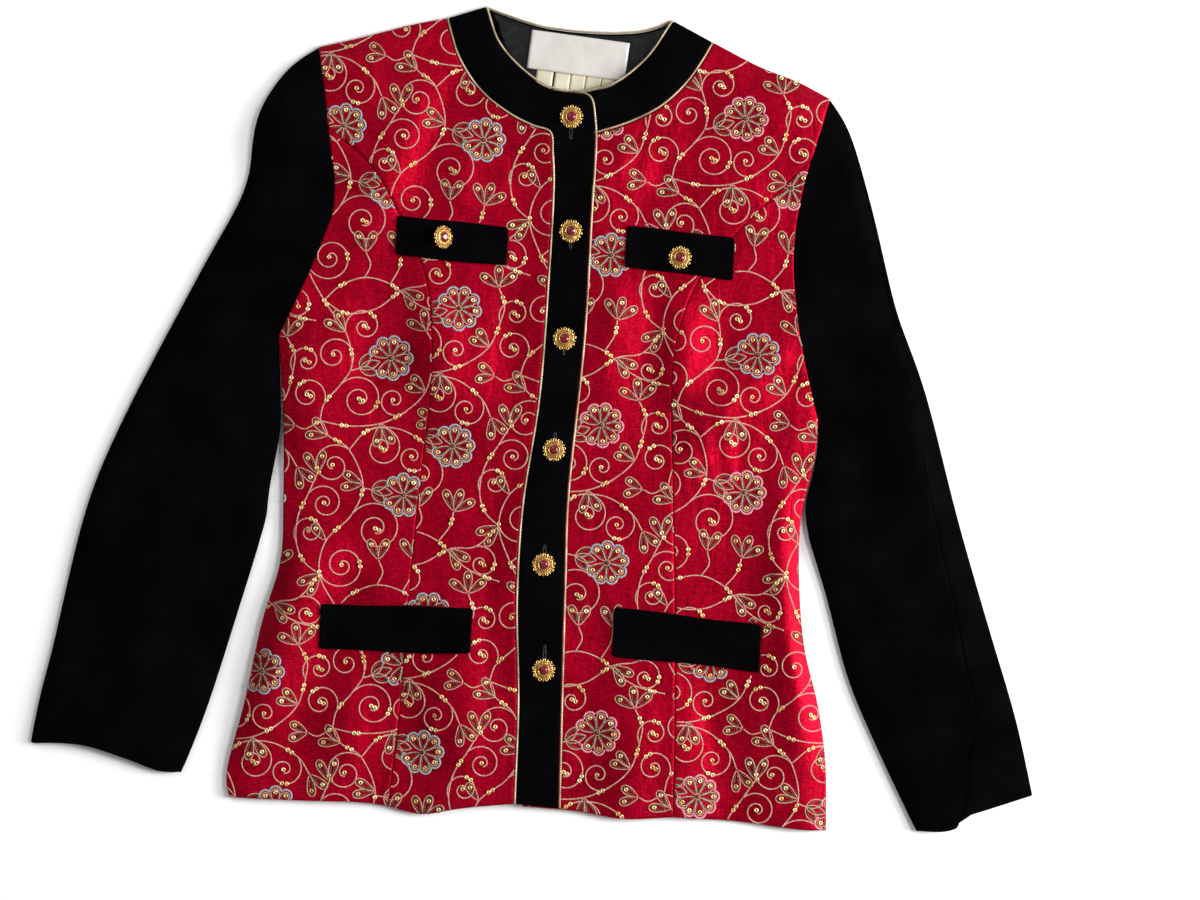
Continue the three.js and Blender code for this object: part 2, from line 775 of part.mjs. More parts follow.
const liningOutline = [
  new THREE.Vector2(-52, 288),
  new THREE.Vector2(-36, 262),
  new THREE.Vector2(10, 244),
  new THREE.Vector2(52, 258),
  new THREE.Vector2(76, 288),
  ...reversed(neckEdgeBack),
];
add("lining_back_neck", slab(insetOutline(liningOutline, 3), SECOND_LAYER, THIN), SATIN, 0.4, 0);

function strip(place, level) {
  const geometry = new THREE.BoxGeometry(place.width, place.height, THIN);
  geometry.rotateZ(place.turn);
  return geometry.translate(place.x, place.y, level + THIN / 2);
}

const CARE_LEVEL = SECOND_LAYER + THIN + GAP;
add("care_strips", strip(CARE_STRIPS, CARE_LEVEL), TAPE, 0.5, 0);
add("label", strip(LABEL, CARE_LEVEL + THIN + GAP), LABEL_SATIN, 0.35, 0);

// Fronts

addSilk("front_right_side", panel(
  { top: reversed(armholeLowRight), right: princessRight, bottom: hemSideRight, left: sideRight },
  { top: PLAIN_SEAM, right: PLAIN_SEAM, bottom: 0, left: PLAIN_SEAM },
  rightLevel,
));
addSilk("front_right_centre", panel(
  { top: shoulderRight, right: bandSeam, bottom: hemCentreRight, left: joined(armholeTopRight, princessRight) },
  { top: 0, right: CORD_SEAM, bottom: 0, left: PLAIN_SEAM },
  rightLevel,
));
addSilk("front_left_centre", panel(
  {
    top: shoulderLeft,
    right: joined(armholeTopLeft, princessLeft),
    bottom: hemCentreLeft,
    left: joined(bandSeamLeft, lapEdge),
  },
  { top: 0, right: PLAIN_SEAM, bottom: 0, left: CORD_SEAM },
  upperLevel,
));
addSilk("front_left_side", panel(
  { top: armholeLowLeft, right: sideLeft, bottom: hemSideLeft, left: princessLeft },
  { top: PLAIN_SEAM, right: PLAIN_SEAM, bottom: 0, left: PLAIN_SEAM },
  upperLevel,
));

// Bands

addVelvet("band_right", panel(
  { top: bandEnd, right: joined(neckEdgeRight, freeEdge), bottom: hemBand, left: bandSeam },
  { top: PLAIN_SEAM, right: CORD_SEAM, bottom: 0, left: CORD_SEAM },
  rightLevel,
));
addVelvet("neck_band_left", panel(
  {
    top: bandEndLeft,
    right: bandSeamLeft,
    bottom: along([neckEdgeLeft[NECK_ROWS], bandSeamLeft[NECK_ROWS]], BAND_COLUMNS),
    left: neckEdgeLeft,
  },
  { top: PLAIN_SEAM, right: CORD_SEAM, bottom: 0, left: CORD_SEAM },
  upperLevel,
));

// Sleeves: the upper one ends beside the under one, which turns round the outer fold

// Across the sleeve from its outer edge, along the armhole in the first row
function inwardAt(r, outer, inner, armhole) {
  const target = r === 0 ? armhole[1] : inner[r];
  return target.clone().sub(outer[r]).normalize();
}

function withMiddles(points) {
  return points.slice(1).reduce(
    (list, point, i) => [...list, points[i].clone().lerp(point, 0.5), point],
    [points[0]],
  );
}

// The part of a cuff that lies farther than a distance from its outer corner, with a new first point
function cuffFrom(start, cuff, distance, columns) {
  const kept = cuff.filter((point) => point.distanceTo(cuff[0]) > distance + 3);
  const table = [start, ...kept].map((point) => ({ x: point.x, y: point.y }));
  return along(table, columns);
}

// Sides of a sleeve piece with the outer edge on the left, or turned over for the left sleeve
function sleeveSides(side, top, inner, cuff, outer) {
  return side === "right"
    ? { top, right: inner, bottom: cuff, left: outer }
    : { top: reversed(top), right: outer, bottom: reversed(cuff), left: inner };
}

function addSleeve(side, outerTable, innerTable, cuffTable, armhole, folded) {
  const outer = along(outerTable, SLEEVE_ROWS);
  const shoulderPart = armhole.slice(0, SLEEVE_CORNER + 1);
  const inner = joined(withMiddles(armhole.slice(SLEEVE_CORNER)), along(innerTable, SLEEVE_INNER_ROWS));
  const cuff = along(cuffTable, 40);
  const inward = outer.map((point, r) => inwardAt(r, outer, inner, armhole));
  const widths = outer.map((point, r) => tableValue(folded, r / SLEEVE_ROWS, "width"));
  const topEdge = outer.map((point, r) => point.clone().addScaledVector(inward[r], widths[r]));
  const foldEdge = outer.map((point, r) => point.clone().addScaledVector(inward[r], FOLD_RADIUS));

  const upperTop = withMiddles([topEdge[0], ...shoulderPart.slice(1)]);
  const upperCuff = cuffFrom(topEdge[SLEEVE_ROWS], cuff, widths[SLEEVE_ROWS], upperTop.length - 1);
  const step = (x, y) => {
    const { distance, place } = distanceTo(topEdge, x, y);
    const size = THREE.MathUtils.smoothstep(tableValue(folded, place, "width"), 5, 18);
    return SLEEVE_STEP * size * Math.exp(-0.5 * (distance / SLEEVE_STEP_RUN) ** 2);
  };
  addVelvet(`sleeve_${side}_upper`, panel(
    sleeveSides(side, upperTop, inner, upperCuff, topEdge),
    { top: PLAIN_SEAM, right: PLAIN_SEAM, bottom: 0, left: PLAIN_SEAM },
    (x, y) => upperLevel(x, y) + step(x, y),
  ));

  const lowerTop = [foldEdge[0], ...shoulderPart.slice(1)];
  const lowerCuff = cuffFrom(foldEdge[SLEEVE_ROWS], cuff, FOLD_RADIUS, lowerTop.length - 1);
  const lowerSides = insetSides(
    sleeveSides(side, lowerTop, inner, lowerCuff, foldEdge),
    side === "right"
      ? { top: PLAIN_SEAM, right: PLAIN_SEAM, bottom: 0, left: 0 }
      : { top: PLAIN_SEAM, right: 0, bottom: 0, left: PLAIN_SEAM },
  );
  const faces = fillGrid(lowerSides).map((line, r) => {
    const fromInner = side === "right" ? reversed(line) : line;
    const outside = fromInner.map((point) => new THREE.Vector3(point.x, point.y, 0));
    const inside = fromInner.map((point) => new THREE.Vector3(point.x, point.y, WALL));
    const base = fromInner[fromInner.length - 1];
    for (let i = 1; i <= FOLD_STEPS; i += 1) {
      const angle = Math.PI * (i / FOLD_STEPS - 0.5);
      for (const [list, radius] of [[outside, FOLD_RADIUS], [inside, FOLD_RADIUS - WALL]]) {
        const point = base.clone().addScaledVector(inward[r], -radius * Math.cos(angle));
        list.push(new THREE.Vector3(point.x, point.y, FOLD_RADIUS + radius * Math.sin(angle)));
      }
    }
    const width = widths[r] - FOLD_RADIUS - PLAIN_SEAM;
    for (let i = 1; i <= STRIP_COLUMNS; i += 1) {
      const reach = (width * i) / STRIP_COLUMNS;
      const point = base.clone().addScaledVector(inward[r], reach);
      const rise = upperLevel(point.x, point.y) - SECOND_LAYER;
      const height = SECOND_LAYER + rise * THREE.MathUtils.smoothstep(reach, 0, CROWN_RUN);
      outside.push(new THREE.Vector3(point.x, point.y, height + WALL));
      inside.push(new THREE.Vector3(point.x, point.y, height));
    }
    return side === "right"
      ? { outside: reversed(outside), inside: reversed(inside) }
      : { outside, inside };
  });
  const outsides = faces.map((face) => face.outside);
  const insides = faces.map((face) => face.inside);
  addVelvet(`sleeve_${side}_under`, wallBetween(outsides, insides));
}

addSleeve("right", SLEEVE_OUTER_RIGHT, SLEEVE_INNER_RIGHT, CUFF_RIGHT, armholeRight, FOLDED_OVER_RIGHT);
addSleeve("left", SLEEVE_OUTER_LEFT, SLEEVE_INNER_LEFT, reversed(CUFF_LEFT), armholeLeft, FOLDED_OVER_LEFT);

// Pocket flaps, each a little clear of the panel below it

function flapLevel(side) {
  const level = side === "right" ? rightLevel : upperLevel;
  return (x, y) => level(x, y) + WALL + FLAP_CLEARANCE;
}

for (const [name, flap] of Object.entries(FLAPS)) {
  const topLeft = { x: flap.leftX, y: flap.leftY };
  const topRight = { x: flap.rightX, y: flap.rightY };
  const lowLeft = { x: flap.leftX, y: flap.leftY - flap.leftDrop };
  const lowRight = { x: flap.rightX, y: flap.rightY - flap.rightDrop };
  const sides = {
    top: along([topLeft, topRight], FLAP_COLUMNS),
    right: along([topRight, lowRight], FLAP_ROWS),
    bottom: along([lowLeft, lowRight], FLAP_COLUMNS),
    left: along([topLeft, lowLeft], FLAP_ROWS),
  };
  const level = flapLevel(name.split("_")[1]);
  addVelvet(`flap_${name}`, panel(sides, { top: 0, right: 0, bottom: 0, left: 0 }, level));
}

// Cord in the seams and on the edges

const cordsRight = {
  piping_band_seam: bandSeam,
  piping_front_edge: joined(neckEdgeRight, freeEdge),
};
for (const [name, line] of Object.entries(cordsRight)) {
  add(name, cord(line, rightLevel), CORD_GOLD, 0.4, 0.5);
}
const cordsLeft = {
  piping_neck_seam_left: bandSeamLeft,
  piping_neck_edge_left: neckEdgeLeft,
};
for (const [name, line] of Object.entries(cordsLeft)) {
  add(name, cord(line, upperLevel), CORD_GOLD, 0.4, 0.5);
}
add("piping_neck_edge_back", cord(neckEdgeBack, () => -0.4), CORD_GOLD, 0.4, 0.5);

// Buttons: a scalloped gold disc with a domed stone in the middle

const BUTTON_PROFILE = [
  { r: 0, z: 0 },
  { r: BUTTON_BASE_RADIUS, z: 0 },
  { r: BUTTON_RADIUS, z: 0.9 },
  { r: 8.9, z: 2 },
  { r: 5, z: 2.8 },
  { r: 3.4, z: 3.9 },
  { r: 0, z: 4.6 },
];

function buttonGeometry() {
  const profile = BUTTON_PROFILE.map((row) => new THREE.Vector2(row.r, row.z));
  const geometry = new THREE.LatheGeometry(profile, 2 * BUTTON_SCALLOPS);
  geometry.rotateX(Math.PI / 2);
  const position = geometry.getAttribute("position");
  for (let i = 0; i < position.count; i += 1) {
    const x = position.getX(i);
    const y = position.getY(i);
    const radius = Math.hypot(x, y);
    if (radius > 0.8 * BUTTON_RADIUS) {
      const wave = 1 + BUTTON_SCALLOP_DEPTH * Math.cos(BUTTON_SCALLOPS * Math.atan2(y, x));
      position.setXY(i, (x * wave) / (1 + BUTTON_SCALLOP_DEPTH), (y * wave) / (1 + BUTTON_SCALLOP_DEPTH));
    }
  }
  return geometry;
}

function surfaceUnder(name, button) {
  const clearance = button.on === "flap" ? WALL + FLAP_CLEARANCE : 0;
  const level = name.endsWith("left") ? upperLevel : rightLevel;
  return (x, y) => level(x, y) + WALL + clearance;
}

for (const [name, button] of Object.entries(BUTTONS)) {
  const surface = surfaceUnder(name, button);
  const reach = BUTTON_RADIUS - 1;
  const slopeX = (surface(button.x + reach, button.y) - surface(button.x - reach, button.y)) / (2 * reach);
  const slopeY = (surface(button.x, button.y + reach) - surface(button.x, button.y - reach)) / (2 * reach);
  const normal = new THREE.Vector3(-slopeX, -slopeY, 1).normalize();
  let height = surface(button.x, button.y);
  for (let i = 0; i < 16; i += 1) {
    const angle = (Math.PI * i) / 8;
    const x = reach * Math.cos(angle);
    const y = reach * Math.sin(angle);
    const plane = slopeX * x + slopeY * y;
    height = Math.max(height, surface(button.x + x, button.y + y) - plane);
  }
  const mesh = add(`button_${name}`, buttonGeometry(), BUTTON_GOLD, 0.35, 0.9);
  const shank = BUTTON_BASE_RADIUS * Math.sin(button.lean);
  mesh.position.set(button.x, button.y, height + BUTTON_SEAT + shank);
  mesh.quaternion.setFromUnitVectors(new THREE.Vector3(0, 0, 1), normal);
  mesh.rotateY(button.lean);
}

export default blazer;
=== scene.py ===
# %% [markdown]
# # A blazer laid out flat
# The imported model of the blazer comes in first. It is a fixed frame of plain solids, in metres,
# with the hem towards -Y and the wearer's right side at -X. Each solid that is cloth is then
# replaced by a thinner, finer sheet on the same form, so everything made here starts from it.

import math
import random

import bmesh
import bpy
import numpy as np
from mathutils import Matrix, Vector
from mathutils.bvhtree import BVHTree
from mathutils.geometry import delaunay_2d_cdt


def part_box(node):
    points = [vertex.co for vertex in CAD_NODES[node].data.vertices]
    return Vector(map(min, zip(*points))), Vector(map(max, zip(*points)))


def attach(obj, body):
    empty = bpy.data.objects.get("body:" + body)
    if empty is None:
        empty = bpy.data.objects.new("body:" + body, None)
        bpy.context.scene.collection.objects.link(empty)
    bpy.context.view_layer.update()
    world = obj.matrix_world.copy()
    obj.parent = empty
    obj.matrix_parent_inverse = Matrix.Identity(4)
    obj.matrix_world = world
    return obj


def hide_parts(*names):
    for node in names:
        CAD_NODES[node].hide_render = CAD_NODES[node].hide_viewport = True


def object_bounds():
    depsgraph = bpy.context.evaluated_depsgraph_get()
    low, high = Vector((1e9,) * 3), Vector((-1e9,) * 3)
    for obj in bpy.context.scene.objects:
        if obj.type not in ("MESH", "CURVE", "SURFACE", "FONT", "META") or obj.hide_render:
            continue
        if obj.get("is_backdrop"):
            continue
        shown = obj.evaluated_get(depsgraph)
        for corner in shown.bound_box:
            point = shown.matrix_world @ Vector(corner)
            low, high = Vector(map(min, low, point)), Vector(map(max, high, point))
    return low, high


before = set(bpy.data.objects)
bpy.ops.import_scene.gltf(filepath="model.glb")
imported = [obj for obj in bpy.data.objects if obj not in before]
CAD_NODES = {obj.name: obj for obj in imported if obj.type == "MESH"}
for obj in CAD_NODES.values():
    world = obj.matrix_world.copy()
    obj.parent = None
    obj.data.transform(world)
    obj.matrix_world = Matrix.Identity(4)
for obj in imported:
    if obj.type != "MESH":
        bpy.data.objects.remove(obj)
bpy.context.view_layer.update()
print("solids in the frame:", len(CAD_NODES))

# %% [markdown]
# ## The camera
# The photograph was taken from straight above. The jacket lies in it turned a little clockwise,
# so here the camera turns instead. A long lens from far away keeps the sleeves from spreading,
# as a phone held high does.

# %% The camera
MM = 0.001
VIEW_WIDTH = 0.960
VIEW_CENTRE = (0.0425, -0.0274)
VIEW_TURN = math.radians(2.75)
LENS = 90
SENSOR = 36
CLOTH_HEIGHT = 0.006

camera_data = bpy.data.cameras.new("camera")
camera_data.lens = LENS
camera_data.sensor_width = SENSOR
camera = bpy.data.objects.new("camera", camera_data)
camera.location = (*VIEW_CENTRE, CLOTH_HEIGHT + VIEW_WIDTH * LENS / SENSOR)
camera.rotation_euler = (0, 0, VIEW_TURN)
bpy.context.scene.collection.objects.link(camera)
bpy.context.scene.camera = camera
print("camera height:", round(camera.location.z, 3), "m")

# %% [markdown]
# ## Colours and nodes
# Cloth colours are known as sRGB hex values, while shaders work on linear light, so one function
# turns the first into the second. Another adds a shader node with its settings and links.

# %% Colours and nodes


def linear(hex_colour):
    """sRGB hex such as "c80a28" as linear red, green, blue and 1."""
    parts = [int(hex_colour[i : i + 2], 16) / 255 for i in (0, 2, 4)]
    return (*(p / 12.92 if p <= 0.04045 else ((p + 0.055) / 1.055) ** 2.4 for p in parts), 1)


def add_node(tree, kind, links=None, **settings):
    """A new node. links gives an input's value, or the (node, output) that feeds it."""
    made = tree.nodes.new(kind)
    for key, value in settings.items():
        setattr(made, key, value)
    for key, value in (links or {}).items():
        if isinstance(value, tuple) and isinstance(value[0], bpy.types.Node):
            tree.links.new(value[0].outputs[value[1]], made.inputs[key])
        else:
            made.inputs[key].default_value = value
    return made


def new_material(name):
    """An empty material and its node tree."""
    material = bpy.data.materials.new(name)
    material.use_nodes = True
    material.node_tree.nodes.clear()
    return material, material.node_tree


def set_stops(ramp, stops):
    """Colour stops of a ramp node: a list of (place, hex)."""
    elements = ramp.color_ramp.elements
    for _ in range(len(stops) - len(elements)):
        elements.new(1)
    for element, (place, colour) in zip(elements, stops):
        element.position = place
        element.color = linear(colour)


# %% [markdown]
# ## Slub silk
# The red cloth is a slub silk, woven from threads that swell and thin, so its face is finely
# mottled. Crinkles 2 to 3 mm across tip the threads towards the window or away from it, weak
# ribs run along the weft, and soft puckers run down the warp. Noise gives all three as bump, and
# the first two as colour too, because a thread that dips also lies in shade. Silk dyed this deep
# reflects red even in its highlights, which a share of metal and a red tint give.

# %% Slub silk
silk, tree = new_material("slub_silk_crimson")
cloth_map = add_node(tree, "ShaderNodeUVMap", uv_map="cloth")
crinkle = add_node(
    tree,
    "ShaderNodeTexNoise",
    {"Vector": (cloth_map, "UV"), "Scale": 400, "Detail": 3, "Roughness": 0.62, "Distortion": 0.5},
)
weft = add_node(tree, "ShaderNodeMapping", {"Vector": (cloth_map, "UV"), "Scale": (130, 620, 1)})
rib = add_node(
    tree, "ShaderNodeTexNoise", {"Vector": (weft, "Vector"), "Scale": 1, "Detail": 2, "Roughness": 0.6}
)
long_map = add_node(tree, "ShaderNodeMapping", {"Vector": (cloth_map, "UV"), "Scale": (120, 42, 1)})
pucker = add_node(
    tree, "ShaderNodeTexNoise", {"Vector": (long_map, "Vector"), "Scale": 1, "Detail": 2, "Distortion": 0.6}
)
tone = add_node(tree, "ShaderNodeTexNoise", {"Vector": (cloth_map, "UV"), "Scale": 22, "Detail": 2})
relief = add_node(tree, "ShaderNodeMix", {"Factor": 0.45}, data_type="FLOAT")
tree.links.new(crinkle.outputs["Fac"], relief.inputs["A"])
tree.links.new(rib.outputs["Fac"], relief.inputs["B"])
# the silk's red, painted darker where crinkles and ribs dip: painted shade in the dips
dye_and_dip_shade = add_node(tree, "ShaderNodeValToRGB", {"Fac": (relief, "Result")})
set_stops(dye_and_dip_shade, [(0.36, "820017"), (0.5, "9b0320"), (0.64, "b00629")])
tone_colour = add_node(tree, "ShaderNodeValToRGB", {"Fac": (tone, "Fac")})
set_stops(tone_colour, [(0.35, "dcd4d6"), (0.65, "ffffff")])
mixed = add_node(tree, "ShaderNodeMix", {"Factor": 1}, data_type="RGBA", blend_type="MULTIPLY")
tree.links.new(dye_and_dip_shade.outputs["Color"], mixed.inputs["A"])
tree.links.new(tone_colour.outputs["Color"], mixed.inputs["B"])
low = add_node(tree, "ShaderNodeBump", {"Height": (pucker, "Fac"), "Strength": 1, "Distance": 0.0008})
high = add_node(
    tree,
    "ShaderNodeBump",
    {"Height": (relief, "Result"), "Normal": (low, "Normal"), "Strength": 1, "Distance": 0.0005},
)
silk_finish = {"Base Color": (mixed, "Result"), "Normal": (high, "Normal"), "IOR": 1.5, "Roughness": 0.43}
silk_finish |= {"Metallic": 0.4, "Specular IOR Level": 0.5, "Specular Tint": linear("ff2038")}
silk_finish |= {"Sheen Weight": 0.05, "Sheen Roughness": 0.35, "Sheen Tint": linear("ff3050")}
shader = add_node(tree, "ShaderNodeBsdfPrincipled", silk_finish)
add_node(tree, "ShaderNodeOutputMaterial", {"Surface": (shader, "BSDF")})

# %% [markdown]
# ## Velvet
# Silk velvet is a dense pile of short threads standing on a ground cloth. Light falls between
# them, so it is nearly black from above and only its grazing edges glow. A rough dark base gives
# the first and a little sheen the second. The pile leans in soft patches, whose sheen a large noise
# paints into the colour as slightly lighter patches, and a fine one gives its grain.

# %% Velvet
velvet, tree = new_material("silk_velvet_black")
cloth_map = add_node(tree, "ShaderNodeTexCoord")
pile_sheen_patches = add_node(tree, "ShaderNodeTexNoise", {"Vector": (cloth_map, "Object"), "Scale": 28, "Detail": 3})
nap = add_node(tree, "ShaderNodeTexNoise", {"Vector": (cloth_map, "Object"), "Scale": 1400, "Detail": 2})
# slightly lighter patches: painted sheen of the leaning pile
black = add_node(tree, "ShaderNodeValToRGB", {"Fac": (pile_sheen_patches, "Fac")})
set_stops(black, [(0.35, "020203"), (0.7, "060608")])
pile = add_node(tree, "ShaderNodeBump", {"Height": (nap, "Fac"), "Strength": 0.5, "Distance": 0.0004})
velvet_finish = {"Base Color": (black, "Color"), "Normal": (pile, "Normal"), "Roughness": 0.95}
velvet_finish |= {"Specular IOR Level": 0.02, "Sheen Weight": 0.03, "Sheen Roughness": 0.25}
velvet_finish |= {"Sheen Tint": linear("b8bccc")}
shader = add_node(tree, "ShaderNodeBsdfPrincipled", velvet_finish)
add_node(tree, "ShaderNodeOutputMaterial", {"Surface": (shader, "BSDF")})

# %% [markdown]
# ## Satin, tape and gilt cord
# The lining is a black satin: long floats of thread lie side by side and shine along one way. It
# ripples a little where it lies loose, which a noise gives as bump. The same noise sets the tone, so
# the colour is painted a little darker in the hollows of the ripples and lighter on their crests,
# as painted shade and light; on cloth that does not ripple it is only an uneven tone. The label is
# a pale satin ribbon, the size strips a cream woven tape. The cord in the seams is spun from pale
# gold metal thread. Threads are drawn 0.7 to 0.9 mm apart, coarser than real ones, so that they show.

# %% Satin, tape and gilt cord
WAVES_A_METRE = 3.2  # of a wave texture at scale 1


def woven(name, dark, light, roughness, spacing, depth, metallic=0.0, specular=0.5, ripple=0.0):
    """A plain woven finish: threads a spacing apart, in metres, on cloth that ripples a little, its colour
    painted darker in the ripples' hollows.
    """
    material, tree = new_material(name)
    place = add_node(tree, "ShaderNodeTexCoord")
    threads = add_node(
        tree,
        "ShaderNodeTexWave",
        {"Vector": (place, "Object"), "Scale": 1 / spacing / WAVES_A_METRE, "Distortion": 0.6, "Detail": 1},
    )
    ripple_noise = add_node(tree, "ShaderNodeTexNoise", {"Vector": (place, "Object"), "Scale": 60, "Detail": 1})
    # tone from the ripple noise: an uneven tone, and on rippled cloth painted shade in the hollows and
    # painted light on the crests
    tone = add_node(tree, "ShaderNodeValToRGB", {"Fac": (ripple_noise, "Fac")})
    set_stops(tone, [(0.3, dark), (0.7, light)])
    soft = add_node(tree, "ShaderNodeBump", {"Height": (ripple_noise, "Fac"), "Strength": 1, "Distance": ripple})
    bump = add_node(
        tree,
        "ShaderNodeBump",
        {"Height": (threads, "Fac"), "Normal": (soft, "Normal"), "Strength": 0.6, "Distance": depth},
    )
    finish = {"Base Color": (tone, "Color"), "Normal": (bump, "Normal"), "Roughness": roughness}
    finish |= {"Metallic": metallic, "Specular IOR Level": specular}
    shader = add_node(tree, "ShaderNodeBsdfPrincipled", finish)
    add_node(tree, "ShaderNodeOutputMaterial", {"Surface": (shader, "BSDF")})
    return material


lining_satin = woven(
    "lining_satin_black", "050507", "0c0c10", 0.36, 0.0008, 0.00005, specular=0.3, ripple=0.0022
)
label_satin = woven("label_satin_silver", "c2bfba", "cac7c1", 0.36, 0.0009, 0.00003, ripple=0.0009)
size_tape = woven("woven_tape_cream", "bdb598", "d2cab2", 0.6, 0.0009, 0.00008)
gilt_cord = woven("spun_gilt_cord", "846f4e", "ccbb98", 0.42, 0.0007, 0.0001, metallic=0.25)

# %% [markdown]
# ## Reading a panel
# A panel of the frame is a closed wall, 2 mm thick, between a lower and an upper grid of points.
# The new cloth starts from the upper grid. It is found by walking: each cell of it is two
# triangles, and from the first corner the third point of the next triangle is always the next
# point of the next row.

# %% Reading a panel
SAME_POINT = 2e-5
LOOKS_UP = 0.3


def merged(node):
    """A copy of a node's mesh with the points that coincide made one."""
    bm = bmesh.new()
    bm.from_mesh(CAD_NODES[node].data)
    bmesh.ops.remove_doubles(bm, verts=bm.verts, dist=SAME_POINT)
    bm.normal_update()
    bm.verts.index_update()
    return bm


def upper_triangles(bm, steepest=LOOKS_UP):
    """Third point behind each directed edge of the faces that look up."""
    third = {}
    for face in bm.faces:
        if face.normal.z > steepest:
            a, b, c = (v.index for v in face.verts)
            third[a, b], third[b, c], third[c, a] = c, a, b
    return third


def outline_of(third):
    """The next point on the outline, counter-clockwise, for each point of it."""
    return {a: b for a, b in third if (b, a) not in third}


def panel_grid(node):
    """Upper points of a panel, rows from the top down and columns from the left."""
    bm = merged(node)
    place = [v.co.copy() for v in bm.verts]
    third = upper_triangles(bm)
    after = outline_of(third)
    before = {b: a for a, b in after.items()}
    reach = {}
    for a, b in third:
        reach.setdefault(a, set()).add(b)
        reach.setdefault(b, set()).add(a)
    # a corner that two triangles share has 3 neighbours, and one with a single triangle has 2
    start = max((v for v in after if len(reach[v]) == 3), key=lambda v: place[v].y)

    def side(step):
        line = [start]
        while len(line) == 1 or len(reach[line[-1]]) > 2:
            line.append(step[line[-1]])
        return line

    left, row = side(after), side(before)
    rows = [row]
    for r in range(1, len(left)):
        row = [left[r]] + [third[rows[-1][c + 1], rows[-1][c]] for c in range(len(row) - 1)]
        rows.append(row)
    bm.free()
    return np.array([[place[v][:] for v in row] for row in rows])
